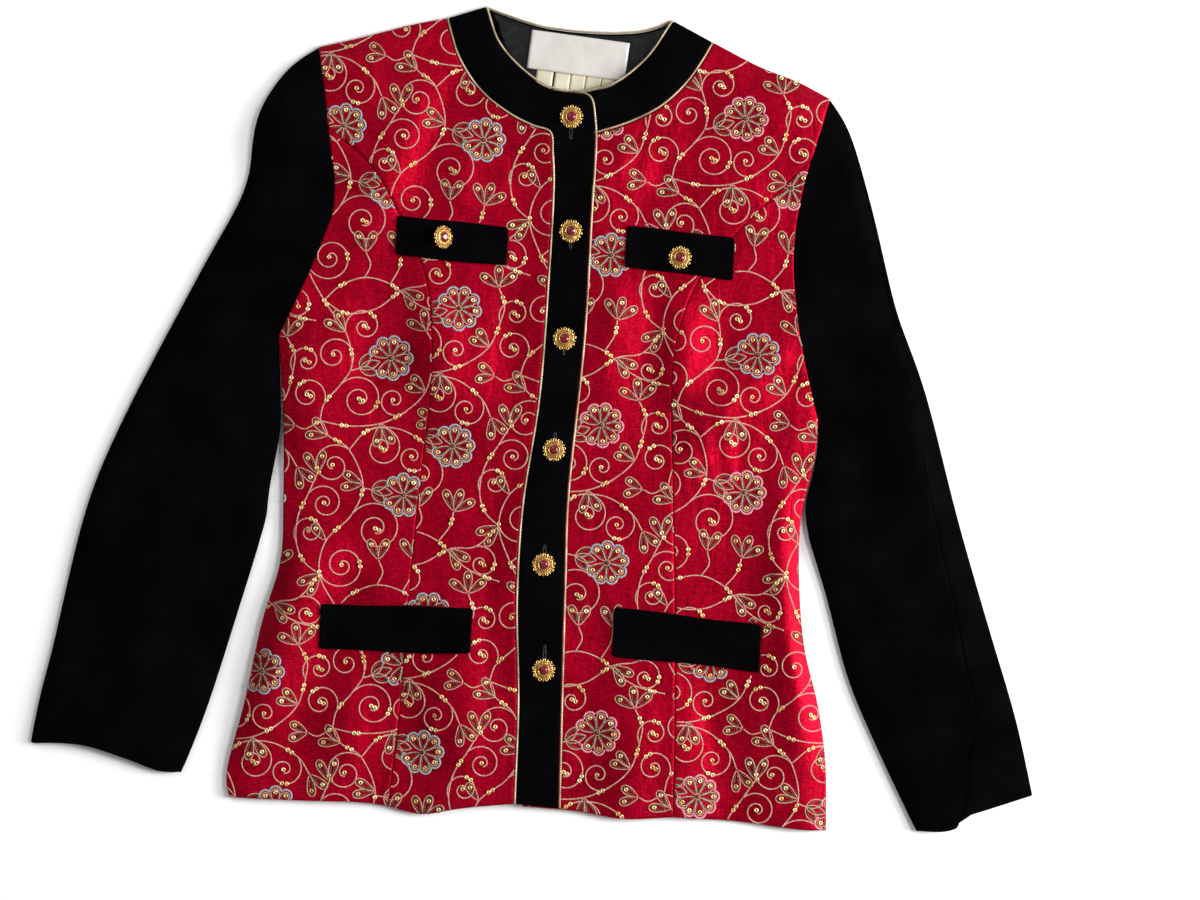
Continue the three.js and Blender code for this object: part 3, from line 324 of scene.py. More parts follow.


# %% [markdown]
# ## Creases
# Cloth that lies loose has broad soft folds, which show as light and dark zones on the silk, and
# finer creases between them. Each is placed here, as a ridge or a trough along a bent line, in
# millimetres: three points, how far it reaches to each side, and how high it stands. A simulation
# would place them elsewhere than the real jacket has them. They hold for everything on top, so a
# seam, a cord and a flap rise and fall together.

# %% Creases
CREASE_STEPS = 8
CREASE_FADE = 0.7
TOP_CREASES = [
    # x and y of start, middle and end, reach to each side, rise
    # broad soft folds, wearer's right
    (-83, 279, -106, 190, -125, 133, 12, -3.6),
    (-133, 96, -128, 20, -99, -54, 17, -3.4),
    (-114, 269, -141, 184, -173, 130, 12, 3.4),
    (-93, 122, -90, 54, -74, -13, 13, 4.2),
    (-39, 101, -38, 53, -43, 9, 9, -2.0),
    (-78, 243, -78, 199, -80, 155, 8, 2.4),
    (-199, 105, -197, 17, -186, -70, 19, 4.4),
    (-167, -90, -203, -191, -231, -297, 13, 4.6),
    (-136, -108, -164, -190, -188, -303, 11, -2.6),
    (-128, -180, -123, -260, -116, -363, 17, -3.0),
    (-67, -141, -66, -245, -63, -361, 18, 5.2),
    # broad soft folds, wearer's left
    (54, 234, 43, 197, 20, 178, 7, 2.8),
    (81, 215, 73, 178, 33, 160, 8, -2.2),
    (84, 111, 80, 54, 63, 4, 10, -3.0),
    (49, 113, 44, 69, 28, 34, 9, 2.6),
    (102, 108, 102, 56, 100, 6, 10, 3.6),
    (136, 105, 135, 57, 120, 16, 10, -2.2),
    (187, 60, 146, 18, 105, -22, 9, 3.6),
    (204, 38, 160, -6, 120, -40, 10, -3.0),
    (195, -32, 199, -148, 220, -283, 11, 4.2),
    (136, -175, 148, -263, 163, -374, 16, -3.4),
    (72, -182, 73, -266, 83, -378, 15, 4.6),
    # fronts, wearer's right
    (-176, 205, -160, 196, -141, 186, 5, 0.7),
    (-184, 176, -168, 170, -150, 158, 4, -0.6),
    (-176, 148, -160, 142, -139, 128, 5, 0.8),
    (-190, 112, -172, 112, -150, 104, 4, 0.6),
    (-201, 86, -178, 90, -152, 82, 5, -0.7),
    (-206, 62, -184, 70, -160, 66, 4, 0.6),
    (-212, 30, -186, 36, -158, 30, 5, 0.6),
    (-206, 4, -180, 2, -150, 8, 5, -0.6),
    (-205, -34, -184, -28, -160, -34, 5, 0.8),
    (-206, -62, -178, -58, -146, -68, 4, -0.6),
    (-208, -96, -186, -88, -158, -94, 5, 0.7),
    (-130, 118, -121, 90, -116, 60, 4, -0.7),
    (-118, 30, -112, 4, -114, -24, 4, 0.5),
    (-128, -40, -124, -66, -121, -96, 5, 0.6),
    (-230, -262, -214, -240, -206, -206, 6, 0.8),
    (-166, -226, -158, -256, -160, -296, 5, -0.7),
    (-128, -222, -124, -250, -126, -284, 4, 0.6),
    (-92, 296, -97, 262, -110, 232, 6, 0.7),
    (-78, 268, -74, 238, -84, 204, 4, -0.6),
    (-160, 262, -150, 240, -128, 226, 6, 0.7),
    (-58, 238, -54, 212, -60, 186, 4, 0.6),
    (-30, 214, -34, 186, -28, 160, 4, -0.5),
    (-88, 176, -76, 166, -54, 168, 4, 0.5),
    (-92, 84, -80, 70, -74, 44, 5, 0.6),
    (-40, 98, -34, 70, -38, 38, 4, -0.6),
    (-88, 8, -72, 4, -50, 12, 4, 0.5),
    (-92, -36, -70, -42, -44, -36, 5, -0.6),
    (-40, -10, -34, -36, -38, -66, 4, 0.5),
    (-94, -88, -76, -84, -58, -90, 4, 0.6),
    (-98, -120, -70, -118, -40, -128, 4, -0.5),
    (-36, -120, -32, -150, -35, -186, 4, 0.6),
    (-100, -218, -86, -240, -80, -276, 5, 0.7),
    (-64, -214, -66, -248, -72, -290, 5, -0.7),
    (-30, -222, -28, -256, -30, -300, 4, 0.6),
    # fronts, wearer's left
    (120, 276, 126, 250, 124, 222, 6, 0.7),
    (96, 254, 104, 228, 98, 204, 4, -0.6),
    (150, 262, 160, 236, 180, 216, 5, -0.6),
    (64, 226, 70, 204, 62, 178, 4, 0.6),
    (44, 218, 42, 192, 50, 170, 4, -0.5),
    (150, 196, 160, 176, 176, 168, 5, 0.7),
    (196, 196, 180, 186, 164, 186, 4, -0.6),
    (188, 156, 170, 146, 152, 148, 5, 0.7),
    (188, 124, 168, 118, 146, 124, 4, -0.6),
    (192, 98, 170, 90, 148, 92, 5, 0.8),
    (44, 112, 50, 84, 46, 56, 4, 0.6),
    (90, 88, 84, 62, 90, 34, 4, -0.5),
    (34, 60, 44, 44, 40, 18, 4, 0.5),
    (200, 44, 176, 38, 150, 44, 5, -0.7),
    (206, 24, 184, 14, 160, 10, 5, 0.8),
    (208, -14, 186, -18, 160, -8, 4, 0.6),
    (202, -48, 180, -46, 156, -54, 5, -0.6),
    (76, -4, 70, -30, 76, -58, 4, 0.5),
    (36, -20, 42, -46, 36, -74, 4, -0.5),
    (94, -66, 76, -72, 54, -68, 4, 0.6),
    (200, -92, 178, -88, 150, -96, 5, 0.7),
    (98, -108, 74, -104, 50, -112, 4, -0.5),
    (202, -128, 184, -124, 160, -130, 4, -0.6),
    (32, -110, 34, -140, 30, -176, 4, 0.5),
    (130, -216, 140, -244, 150, -282, 5, -0.7),
    (170, -206, 178, -240, 180, -286, 6, 0.8),
    (216, -216, 208, -250, 214, -296, 5, 0.6),
    (88, -212, 92, -246, 86, -290, 4, 0.6),
    (66, -214, 68, -252, 74, -300, 5, -0.7),
    (30, -214, 32, -250, 30, -300, 4, 0.6),
    # sleeves
    (-238, 216, -222, 196, -214, 168, 7, 1.5),
    (-242, 170, -222, 150, -200, 140, 6, -1.4),
    (-256, 128, -232, 112, -206, 108, 7, 1.5),
    (-280, 84, -250, 66, -222, 62, 7, -1.5),
    (-300, 30, -268, 18, -236, 20, 8, 1.7),
    (-316, -8, -286, -20, -250, -14, 7, -1.5),
    (-324, -52, -290, -52, -252, -66, 8, 1.5),
    (-344, -84, -310, -96, -270, -96, 7, -1.4),
    (-356, -130, -330, -142, -290, -136, 7, 1.4),
    (-300, -150, -312, -200, -322, -260, 9, 1.5),
    (-370, -190, -364, -226, -368, -264, 8, -1.4),
    (-276, -200, -288, -236, -292, -274, 8, 1.4),
    (238, 190, 224, 176, 212, 150, 7, 1.5),
    (252, 150, 232, 136, 206, 132, 7, -1.4),
    (264, 104, 240, 92, 212, 96, 7, 1.5),
    (278, 62, 252, 48, 222, 52, 7, -1.5),
    (290, 18, 262, 6, 230, 10, 8, 1.7),
    (306, -30, 276, -36, 238, -28, 7, -1.4),
    (318, -72, 286, -78, 246, -70, 7, 1.5),
    (300, -124, 276, -128, 254, -146, 7, -1.2),
    (296, -160, 312, -214, 322, -270, 9, 1.5),
    (336, -190, 344, -230, 350, -276, 8, -1.2),
    (274, -196, 290, -232, 306, -270, 8, 1.2),
]


def crease_height(creases, x, y):
    """Sum of the creases at x and y, all in metres; x and y may be arrays."""
    x, y = np.asarray(x, float), np.asarray(y, float)
    total = np.zeros(x.shape)
    for ax, ay, bx, by, cx, cy, reach, rise in creases:
        t = np.linspace(0, 1, CREASE_STEPS + 1)
        lx = ((1 - t) ** 2 * ax + 2 * t * (1 - t) * (2 * bx - (ax + cx) / 2) + t**2 * cx) * MM
        ly = ((1 - t) ** 2 * ay + 2 * t * (1 - t) * (2 * by - (ay + cy) / 2) + t**2 * cy) * MM
        best = np.full(x.shape, 1.0)
        where = np.zeros(x.shape)
        for i in range(CREASE_STEPS):
            dx, dy = lx[i + 1] - lx[i], ly[i + 1] - ly[i]
            s = np.clip(((x - lx[i]) * dx + (y - ly[i]) * dy) / (dx * dx + dy * dy), 0, 1)
            d = np.hypot(x - lx[i] - dx * s, y - ly[i] - dy * s)
            where = np.where(d < best, (i + s) / CREASE_STEPS, where)
            best = np.minimum(best, d)
        along = np.sin(np.pi * where) ** CREASE_FADE
        total += rise * MM * along * np.exp(-0.5 * (best / (reach * MM)) ** 2)
    return total


# %% [markdown]
# ## From grid to cloth
# The grid's points are 12 to 18 mm apart. A smooth curve runs through them both ways and is read
# every 2.6 mm, and once more 0.7 mm inside each edge, so that the edge can turn down like a
# seam pressed over its allowance. The wall below follows at the frame's thickness.

# %% From grid to cloth
CELL = 0.0026
EDGE_STEP = 0.0007
EDGE_DROP = 0.00055
WALL = 0.002


def through(points, places):
    """Values of a smooth curve through evenly numbered points, at places along it."""
    ends = np.concatenate([2 * points[:1] - points[1:2], points, 2 * points[-1:] - points[-2:-1]])
    i = np.minimum(places.astype(int), len(points) - 2)
    t = (places - i).reshape(-1, *[1] * (points.ndim - 1))
    a, b, c, d = ends[i], ends[i + 1], ends[i + 2], ends[i + 3]
    return 0.5 * (2 * b + (c - a) * t + (2 * a - 5 * b + 4 * c - d) * t**2 + (3 * b - a - 3 * c + d) * t**3)


def fine_places(line, cell=CELL):
    """Where a line of points is read: evenly, and once just inside each end."""
    cells = len(line) - 1
    length = np.linalg.norm(np.diff(line, axis=0), axis=1).sum()
    each = max(1, round(length / cells / cell))
    near = EDGE_STEP * cells / length
    inner = np.arange(1, cells * each) / each
    return np.concatenate([[0, near], inner, [cells - near, cells]])


def fine_grid(grid, cell=CELL):
    """The same surface with small cells."""
    down = fine_places(grid[:, grid.shape[1] // 2], cell)
    across = fine_places(grid[grid.shape[0] // 2], cell)
    rows = through(grid, down)
    return through(rows.swapaxes(0, 1), across).swapaxes(0, 1)


def make_mesh(name, corners, faces, material, grain=0.0):
    """An object from points and faces, with a map of the cloth in metres along its grain."""
    mesh = bpy.data.meshes.new(name)
    mesh.from_pydata([tuple(p) for p in corners], [], faces)
    mesh.polygons.foreach_set("use_smooth", [True] * len(mesh.polygons))
    uv = mesh.uv_layers.new(name="cloth")
    used = np.zeros(len(mesh.loops), int)
    mesh.loops.foreach_get("vertex_index", used)
    flat = np.asarray(corners)[used, :2]
    turn = math.radians(grain)
    turned = flat @ np.array([[math.cos(turn), -math.sin(turn)], [math.sin(turn), math.cos(turn)]])
    uv.data.foreach_set("uv", turned.ravel())
    mesh.materials.append(material)
    made = bpy.data.objects.new(name, mesh)
    bpy.context.scene.collection.objects.link(made)
    return made


def grid_shell(name, top, material, grain=0.0, wall=WALL, drop=EDGE_DROP):
    """A closed thin sheet below a fine grid, its edge turned down."""
    rows, columns = top.shape[:2]
    under = top - np.array([0, 0, wall])
    top, under = top.copy(), under.copy()
    rim = np.zeros((rows, columns), bool)
    rim[[0, -1]] = rim[:, [0, -1]] = True
    top[rim, 2] -= drop
    under[rim, 2] += drop * 0.5
    at = np.arange(rows * columns).reshape(rows, columns)
    low = at + rows * columns
    quads = np.stack([at[:-1, :-1], at[1:, :-1], at[1:, 1:], at[:-1, 1:]], -1).reshape(-1, 4)
    lower = np.stack([low[:-1, :-1], low[:-1, 1:], low[1:, 1:], low[1:, :-1]], -1).reshape(-1, 4)
    loop = np.concatenate([at[:, 0], at[-1, 1:], at[-2::-1, -1], at[0, -2:0:-1]])
    loop_low = loop + rows * columns
    side = np.stack([loop, loop_low, np.roll(loop_low, -1), np.roll(loop, -1)], -1)
    faces = np.concatenate([quads, lower, side]).tolist()
    corners = np.concatenate([top.reshape(-1, 3), under.reshape(-1, 3)])
    made = make_mesh(name, corners, faces, material, grain)
    print(name, "cells", len(quads), "triangles", 2 * len(faces))
    return made


# %% [markdown]
# ## The fronts, the bands and the upper sleeves
# Each of them is one panel: a fine grid through the frame's points, with the creases on it. Each
# panel of the fronts was cut with its own grain, so its ribs run a little differently. A deep
# trough would sink into the cloth below, so it lands softly there and goes on flat, as cloth does.

# %% The fronts, the bands and the upper sleeves
PANELS = {
    # cloth, grain in degrees, flat size and area in metres, and what it rests on
    "front_right_side": (silk, 4, (0.149, 0.540), 0.0546, "back_cloth"),
    "front_right_centre": (silk, -2, (0.192, 0.637), 0.0626, "back_cloth"),
    "front_left_centre": (silk, 1, (0.225, 0.623), 0.0737, "back_cloth"),
    "front_left_side": (silk, -5, (0.140, 0.535), 0.0503, "back_cloth"),
    "band_right": (velvet, 0, (0.106, 0.637), 0.0215, "front_left_centre_cloth"),
    "neck_band_left": (velvet, 0, (0.116, 0.099), 0.0043, "back_cloth"),
    "sleeve_right_upper": (velvet, 0, (0.185, 0.618), 0.0580, "sleeve_right_under_cloth"),
    "sleeve_left_upper": (velvet, 0, (0.150, 0.600), 0.0430, "sleeve_left_under_cloth"),
}
LOWEST_TOP = 0.0046
SOFT_LANDING = 0.0006


def creased(grid):
    """A fine grid with the top creases on it."""
    lifted = grid.copy()
    lifted[..., 2] += crease_height(TOP_CREASES, grid[..., 0], grid[..., 1])
    # a trough that reaches the back lies flat on it
    rest = np.minimum(grid[..., 2], LOWEST_TOP)
    over = lifted[..., 2] - rest
    lifted[..., 2] = rest + (over + np.sqrt(over**2 + SOFT_LANDING**2)) / 2
    return lifted


def dress(piece, node):
    """Hangs a cloth piece on the root and hides the solid it stands for."""
    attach(piece, "root")
    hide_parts(node)


panel_top = {}
for node, (material, grain, flat, area, below) in PANELS.items():
    panel_top[node] = creased(fine_grid(panel_grid(node)))
    cloth = grid_shell(node + "_cloth", panel_top[node], material, grain)
    dress(cloth, node)

# %% [markdown]
# ## The pocket flaps
# Each flap is velvet, folded on its edges and sewn down along the top. Its corners are a little
# round, because velvet is too thick to turn sharply, and its lower edge waves slightly.

# %% The pocket flaps
FLAP_CORNER = 0.0028
FLAP_CELL = 0.0022
FLAP_WALL = 0.0019
FLAP_EDGE_DROP = 0.0008
# waves along an edge in half turns, where the first one starts, and their share of the wave
LOWER_WAVE = (2.2, 0.6, 1.0)
UPPER_WAVE = (3.1, 1.9, 0.6)
FLAPS = {
    # flat size and area in metres, height of the edge's wave, and what it rests on
    "flap_breast_right": ((0.089, 0.036), 0.0028, 0.0005, "front_right_centre_cloth"),
    "flap_breast_left": ((0.087, 0.040), 0.0029, -0.0004, "front_left_centre_cloth"),
    "flap_hip_right": ((0.121, 0.040), 0.0044, 0.0006, "front_right_centre_cloth"),
    "flap_hip_left": ((0.118, 0.047), 0.0045, -0.0007, "front_left_centre_cloth"),
}


def rounded_corners(grid, radius):
    """Draws the four corners of a grid in to a radius, in plan."""
    across = np.linalg.norm(np.diff(grid[0], axis=0), axis=1)
    down = np.linalg.norm(np.diff(grid[:, 0], axis=0), axis=1)
    u = np.concatenate([[0], np.cumsum(across)])
    v = np.concatenate([[0], np.cumsum(down)])
    vx = np.maximum(radius - u, 0) - np.maximum(radius - (u[-1] - u), 0)
    vy = np.maximum(radius - v, 0) - np.maximum(radius - (v[-1] - v), 0)
    vx, vy = np.broadcast_arrays(vx[None, :], vy[:, None])
    long = np.hypot(vx, vy)
    scale = np.where(long > 0, np.maximum(abs(vx), abs(vy)) / np.maximum(long, 1e-9), 1)
    right = (grid[0, -1] - grid[0, 0]) / u[-1] * [1, 1, 0]
    lower = (grid[-1, 0] - grid[0, 0]) / v[-1] * [1, 1, 0]
    return grid + (vx * (1 - scale))[..., None] * right + (vy * (1 - scale))[..., None] * lower


for node, (flat, area, wave, below) in FLAPS.items():
    grid = fine_grid(panel_grid(node), FLAP_CELL)
    across = np.linspace(0, 1, grid.shape[1])
    down = np.linspace(0, 1, grid.shape[0])[:, None]
    for fade, (turns, start, share) in ((down, LOWER_WAVE), (1 - down, UPPER_WAVE)):
        grid[..., 1] += fade * wave * share * np.sin(across * turns * math.pi + start)
    panel_top[node] = creased(rounded_corners(grid, FLAP_CORNER))
    cloth = grid_shell(node + "_cloth", panel_top[node], velvet, wall=FLAP_WALL, drop=FLAP_EDGE_DROP)
    dress(cloth, node)

# %% [markdown]
# ## The back, the back of the neck band and the lining
# These lie flat. Their outline comes from the solid, points are laid inside it on a slanting
# grid, and Blender's triangulation joins them. The back leaves the floor only in its shallow
# creases, which show when the jacket is turned over.

# %% The back, the back of the neck band and the lining
LOOKS_STRAIGHT_UP = 0.9
ROW_SHARE = 0.866  # rows of an even triangle grid, in cells
CLEAR_SHARE = 0.6  # no inner point nearer to the outline than this, in cells
NO_FADE = 1e-4
FADE_WIDTH = 0.020  # creases fade out this near to the outline
BACK_CELL = 0.006
BAND_CELL = 0.004
LINING_CELL = 0.0025
LINING_FADE = 0.006
BACK_CREASES = [
    (-150, 230, -120, 150, -130, 60, 9, 0.9),
    (-60, 250, -50, 170, -70, 90, 8, 0.7),
    (40, 240, 56, 160, 30, 70, 9, 0.8),
    (140, 220, 120, 140, 130, 50, 8, 0.9),
    (-180, 60, -120, 30, -60, 44, 7, 0.8),
    (170, 30, 120, 6, 50, 20, 7, 0.9),
    (-176, -10, -110, -30, -50, -16, 6, 0.7),
    (174, -40, 110, -54, 56, -44, 6, 0.7),
    (-170, -90, -130, -180, -150, -280, 10, 1.0),
    (-70, -80, -60, -180, -84, -290, 9, 0.8),
    (30, -60, 20, -170, 36, -290, 9, 0.9),
    (120, -90, 140, -190, 130, -290, 10, 1.0),
    (-20, 40, -10, -10, -24, -60, 6, 0.5),
    (80, 90, 90, 50, 74, 0, 6, 0.6),
]
LINING_CREASES = [
    (-44, 296, -30, 278, -24, 262, 4, 0.5),
    (62, 300, 52, 282, 46, 268, 4, 0.5),
    (-36, 306, -10, 300, 20, 302, 3, 0.4),
]


def slab_outline(node):
    """Outline of a flat solid's upper face, counter-clockwise, and its two levels."""
    bm = merged(node)
    place = [v.co.copy() for v in bm.verts]
    after = outline_of(upper_triangles(bm, LOOKS_STRAIGHT_UP))
    bm.free()
    first = next(iter(after))
    loop = [first]
    while after[loop[-1]] != first:
        loop.append(after[loop[-1]])
    levels = [p.z for p in place]
    return np.array([place[i][:2] for i in loop]), min(levels), max(levels)


def smooth_outline(loop, step, corner=math.radians(28)):
    """The outline read every step along smooth curves between its corners."""
    ahead = np.roll(loop, -1, axis=0) - loop
    behind = loop - np.roll(loop, 1, axis=0)
    turn = np.arctan2(behind[:, 0] * ahead[:, 1] - behind[:, 1] * ahead[:, 0], (behind * ahead).sum(1))
    corners = [i for i in range(len(loop)) if abs(turn[i]) > corner] or [0]
    pieces = []
    for i, start in enumerate(corners):
        stop = corners[(i + 1) % len(corners)]
        count = (stop - start) % len(loop) or len(loop)
        line = loop[[(start + k) % len(loop) for k in range(count + 1)]]
        each = max(1, round(np.linalg.norm(np.diff(line, axis=0), axis=1).mean() / step))
        places = np.arange(count * each) / each
        pieces.append(through(line, places))
    return np.concatenate(pieces)


def distance_to_loop(points, loop):
    """How far each point is from a closed outline."""
    best = np.full(len(points), 1.0)
    for a, b in zip(loop, np.roll(loop, -1, axis=0)):
        d = b - a
        s = np.clip(((points - a) @ d) / (d @ d), 0, 1)
        best = np.minimum(best, np.linalg.norm(points - a - s[:, None] * d, axis=1))
    return best


def flat_shell(name, node, material, creases, cell, fade_width=FADE_WIDTH):
    """A closed thin sheet on a flat solid's outline, with creases that fade towards its edge."""
    coarse, low, high = slab_outline(node)
    loop = smooth_outline(coarse, cell)
    lo, hi = loop.min(0), loop.max(0)
    xs = np.arange(lo[0], hi[0], cell)
    ys = np.arange(lo[1], hi[1], cell * ROW_SHARE)
    lattice = np.array([(x + (j % 2) * cell / 2, y) for j, y in enumerate(ys) for x in xs])
    # delaunay_2d_cdt keeps only what lies inside the outline
    keep = distance_to_loop(lattice, loop) > cell * CLEAR_SHARE
    points = [Vector(p) for p in np.concatenate([loop, lattice[keep]])]
    corners, _, faces, *_ = delaunay_2d_cdt(points, [], [list(range(len(loop)))], 1, 1e-7)
    plan = np.array([tuple(p) for p in corners])
    used = sorted({i for face in faces for i in face})
    renumber = {old: new for new, old in enumerate(used)}
    plan = plan[used]
    faces = [[renumber[i] for i in face] for face in faces]
    fade = np.clip(distance_to_loop(plan, loop) / fade_width, 0, 1)
    lift = crease_height(creases, plan[:, 0], plan[:, 1]) * fade
    count = len(plan)
    rim = fade < NO_FADE
    top = np.column_stack([plan, high + lift - EDGE_DROP * rim])
    under = np.column_stack([plan, low + lift])
    third = {}
    for a, b, c in faces:
        third[a, b] = third[b, c] = third[c, a] = True
    walls = [(b, a, a + count, b + count) for a, b in third if (b, a) not in third]
    lower = [(c + count, b + count, a + count) for a, b, c in faces]
    made = make_mesh(name, np.concatenate([top, under]), faces + lower + walls, material)
    print(name, "triangles", 2 * len(faces) + 2 * len(walls))
    return made


back = flat_shell("back_cloth", "back", silk, BACK_CREASES, BACK_CELL)
dress(back, "back")
band_back = flat_shell("neck_band_back_cloth", "neck_band_back", velvet, [], BAND_CELL)
dress(band_back, "neck_band_back")
lining = flat_shell(
    "lining_back_neck_cloth", "lining_back_neck", lining_satin, LINING_CREASES, LINING_CELL, LINING_FADE
)
dress(lining, "lining_back_neck")

# %% [markdown]
# ## The under sleeves
# The under sleeve lies on the floor, turns round the outer fold and comes back on top. Its solid
# has that fold in flat steps, so a copy is merged, its triangles joined, its rim kept sharp by a
# crease, and Subdivision Surface rounds the rest.

# %% The under sleeves
RIM_ANGLE = math.radians(52)
RIM_CREASE = 0.9
FLAT_PAIR = math.radians(40)
SQUARE_PAIR = math.radians(60)


def rounded_copy(node, name, material, levels=2):
    """A smoother copy of a solid, sharp where its wall ends."""
    bm = merged(node)
    bmesh.ops.join_triangles(
        bm, faces=bm.faces, angle_face_threshold=FLAT_PAIR, angle_shape_threshold=SQUARE_PAIR
    )
    crease = bm.edges.layers.float.new("crease_edge")
    for edge in bm.edges:
        if len(edge.link_faces) == 2 and edge.calc_face_angle() > RIM_ANGLE:
            edge[crease] = RIM_CREASE
    mesh = bpy.data.meshes.new(name)
    bm.to_mesh(mesh)
    bm.free()
    mesh.polygons.foreach_set("use_smooth", [True] * len(mesh.polygons))
    mesh.materials.append(material)
    made = bpy.data.objects.new(name, mesh)
    bpy.context.scene.collection.objects.link(made)
    subdivide = made.modifiers.new("smooth", "SUBSURF")
    subdivide.levels = subdivide.render_levels = levels
    bpy.ops.object.select_all(action="DESELECT")
    made.select_set(True)
    bpy.context.view_layer.objects.active = made
    bpy.ops.object.modifier_apply(modifier="smooth")
    print(name, "triangles", 2 * len(made.data.polygons))
    return made


for node, area in (("sleeve_right_under", 0.0640), ("sleeve_left_under", 0.0650)):
    cloth = rounded_copy(node, node + "_cloth", velvet)
    dress(cloth, node)

# %% [markdown]
# ## Label and size strips
# The label and the size strips below it are bare. The label is a satin ribbon with its ends
# turned under, sewn down along its edges. The strips are five short loops of tape side by side,
# the first gap between them the widest. Both buckle a little, in waves a few centimetres long.

# %% Label and size strips
STRIP_WIDTHS = (0.0125, 0.0115, 0.0110, 0.0115, 0.0105)
STRIP_GAPS = (0.0013, 0.0004, 0.0004, 0.0004, 0.0)
LABEL_CELLS, LABEL_BEND = (40, 16), 0.00022
STRIP_CELLS, STRIP_BEND = (8, 10), 0.00015
RIBBON_WALL_SHARE = 0.6
RIBBON_EDGE_DROP = 0.0002
# radians a metre, along and across the ribbon
SLANTING_WAVE = (95, 40)
CROSSWISE_WAVE = 130


def ribbon(name, node, cells, bend, material, share=(0.0, 1.0)):
    """A thin ribbon on a share of a flat strip's width, with its cells across and down."""
    across, down = cells
    corners, low, high = slab_outline(node)
    middle = corners.mean(0)
    longest = max((b - a for a, b in zip(corners, np.roll(corners, -1, axis=0))), key=np.linalg.norm)
    right = longest / np.linalg.norm(longest)
    right = right if right[0] > 0 else -right
    up = np.array([-right[1], right[0]])
    size = [max(abs((corners - middle) @ axis)) for axis in (right, up)]
    u = np.linspace(-1 + 2 * share[0], -1 + 2 * share[1], across + 1) * size[0]
    v = np.linspace(1, -1, down + 1) * size[1]
    grid = np.zeros((down + 1, across + 1, 3))
    grid[..., :2] = middle + u[None, :, None] * right + v[:, None, None] * up
    waves = np.sin(u[None, :] * SLANTING_WAVE[0] + v[:, None] * SLANTING_WAVE[1])
    waves = waves * np.sin(v[:, None] * CROSSWISE_WAVE + 1)
    grid[..., 2] = high - bend + bend * waves
    wall = (high - low) * RIBBON_WALL_SHARE
    return grid_shell(name, grid, material, wall=wall, drop=RIBBON_EDGE_DROP)


label = ribbon("label_ribbon", "label", LABEL_CELLS, LABEL_BEND, label_satin)
dress(label, "label")
total = sum(STRIP_WIDTHS) + sum(STRIP_GAPS)
start = 0.0
for i, (width, gap) in enumerate(zip(STRIP_WIDTHS, STRIP_GAPS)):
    share = (start / total, (start + width) / total)
    piece = ribbon(f"size_strip_{i + 1}", "care_strips", STRIP_CELLS, STRIP_BEND, size_tape, share)
    start += width + gap
    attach(piece, "root")
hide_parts("care_strips")

# %% [markdown]
# ## Cord in the seams
# A cord spun from three strands lies in the seam of the band and along its edge. Its line is the
# middle of the frame's cord, whose mesh is a row of rings: the middle of each ring is one point of
# the line. Round it goes a section with three lobes, turned a little further at each step, which
# gives the twist. One full turn takes 6 mm. The cords together are 1.8 m long, and sewn down all
# along, so they keep the frame's length.

# %% Cord in the seams
CORD_RADIUS = 0.00095
CORD_LOBE = 0.00016
CORD_SIDES = 9
CORD_STEP = 0.0007
CORD_PITCH = 0.006
CORD_STRANDS = 3
RING_SPAN = 0.0027
READS_PER_SPAN = 60


def cord_line(node):
    """Middle points of a solid cord, in order."""
    bm = merged(node)
    places = np.array([v.co[:] for v in bm.verts])
    bm.free()
    middles = []
    left = places
    while len(left):
        near = np.linalg.norm(left - left[0], axis=1) < RING_SPAN
        middles.append(left[near].mean(0))
        left = left[~near]
    middles = np.array(middles)
    spread = np.linalg.norm(middles[:, None] - middles[None], axis=2)
    end = int(np.unravel_index(spread.argmax(), spread.shape)[0])
    order, rest = [end], set(range(len(middles))) - {end}
    while rest:
        nearest = min(rest, key=lambda i: spread[order[-1], i])
        order.append(nearest)
        rest.remove(nearest)
    return middles[order]


def even_line(points, step):
    """A smooth line through points, read at even steps along it."""
    dense = through(points, np.linspace(0, len(points) - 1, READS_PER_SPAN * (len(points) - 1) + 1))
    length = np.concatenate([[0], np.cumsum(np.linalg.norm(np.diff(dense, axis=0), axis=1))])
    at = np.linspace(0, length[-1], max(2, round(length[-1] / step)) + 1)
    return np.column_stack([np.interp(at, length, dense[:, k]) for k in range(3)]), at


def twisted_cord(name, node, material):
    """A cord of three strands along a solid cord's middle."""
    line, at = even_line(cord_line(node), CORD_STEP)
    line[:, 2] += crease_height(TOP_CREASES, line[:, 0], line[:, 1])
    ahead = np.gradient(line, axis=0)
    ahead /= np.linalg.norm(ahead, axis=1)[:, None]
    side = np.cross(ahead, [0, 0, 1])
    side /= np.linalg.norm(side, axis=1)[:, None]
    up = np.cross(side, ahead)
    turn = np.arange(CORD_SIDES) * 2 * math.pi / CORD_SIDES
    angle = turn[None, :] + (2 * math.pi / CORD_PITCH) * at[:, None]
    radius = CORD_RADIUS - CORD_LOBE + CORD_LOBE * np.cos(CORD_STRANDS * turn)[None, :]
    rings = (
        line[:, None]
        + (radius * np.cos(angle))[..., None] * side[:, None]
        + (radius * np.sin(angle))[..., None] * up[:, None]
    )
    n = len(line)
    at_ring = np.arange(n * CORD_SIDES).reshape(n, CORD_SIDES)
    after = np.roll(at_ring, -1, axis=1)
    quads = np.stack([at_ring[:-1], at_ring[1:], after[1:], after[:-1]], -1).reshape(-1, 4)
    faces = quads.tolist() + [at_ring[0].tolist(), at_ring[-1, ::-1].tolist()]
    made = make_mesh(name, rings.reshape(-1, 3), faces, material)
    bm = bmesh.new()
    bm.from_mesh(made.data)
    bmesh.ops.recalc_face_normals(bm, faces=bm.faces)
    bm.to_mesh(made.data)
    bm.free()
    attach(made, "root")
    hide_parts(node)
    print(name, "length", round(at[-1], 3), "m, triangles", 2 * len(quads))
    return made


for node in sorted(n for n in CAD_NODES if n.startswith("piping_")):
    twisted_cord(node + "_cord", node, gilt_cord)
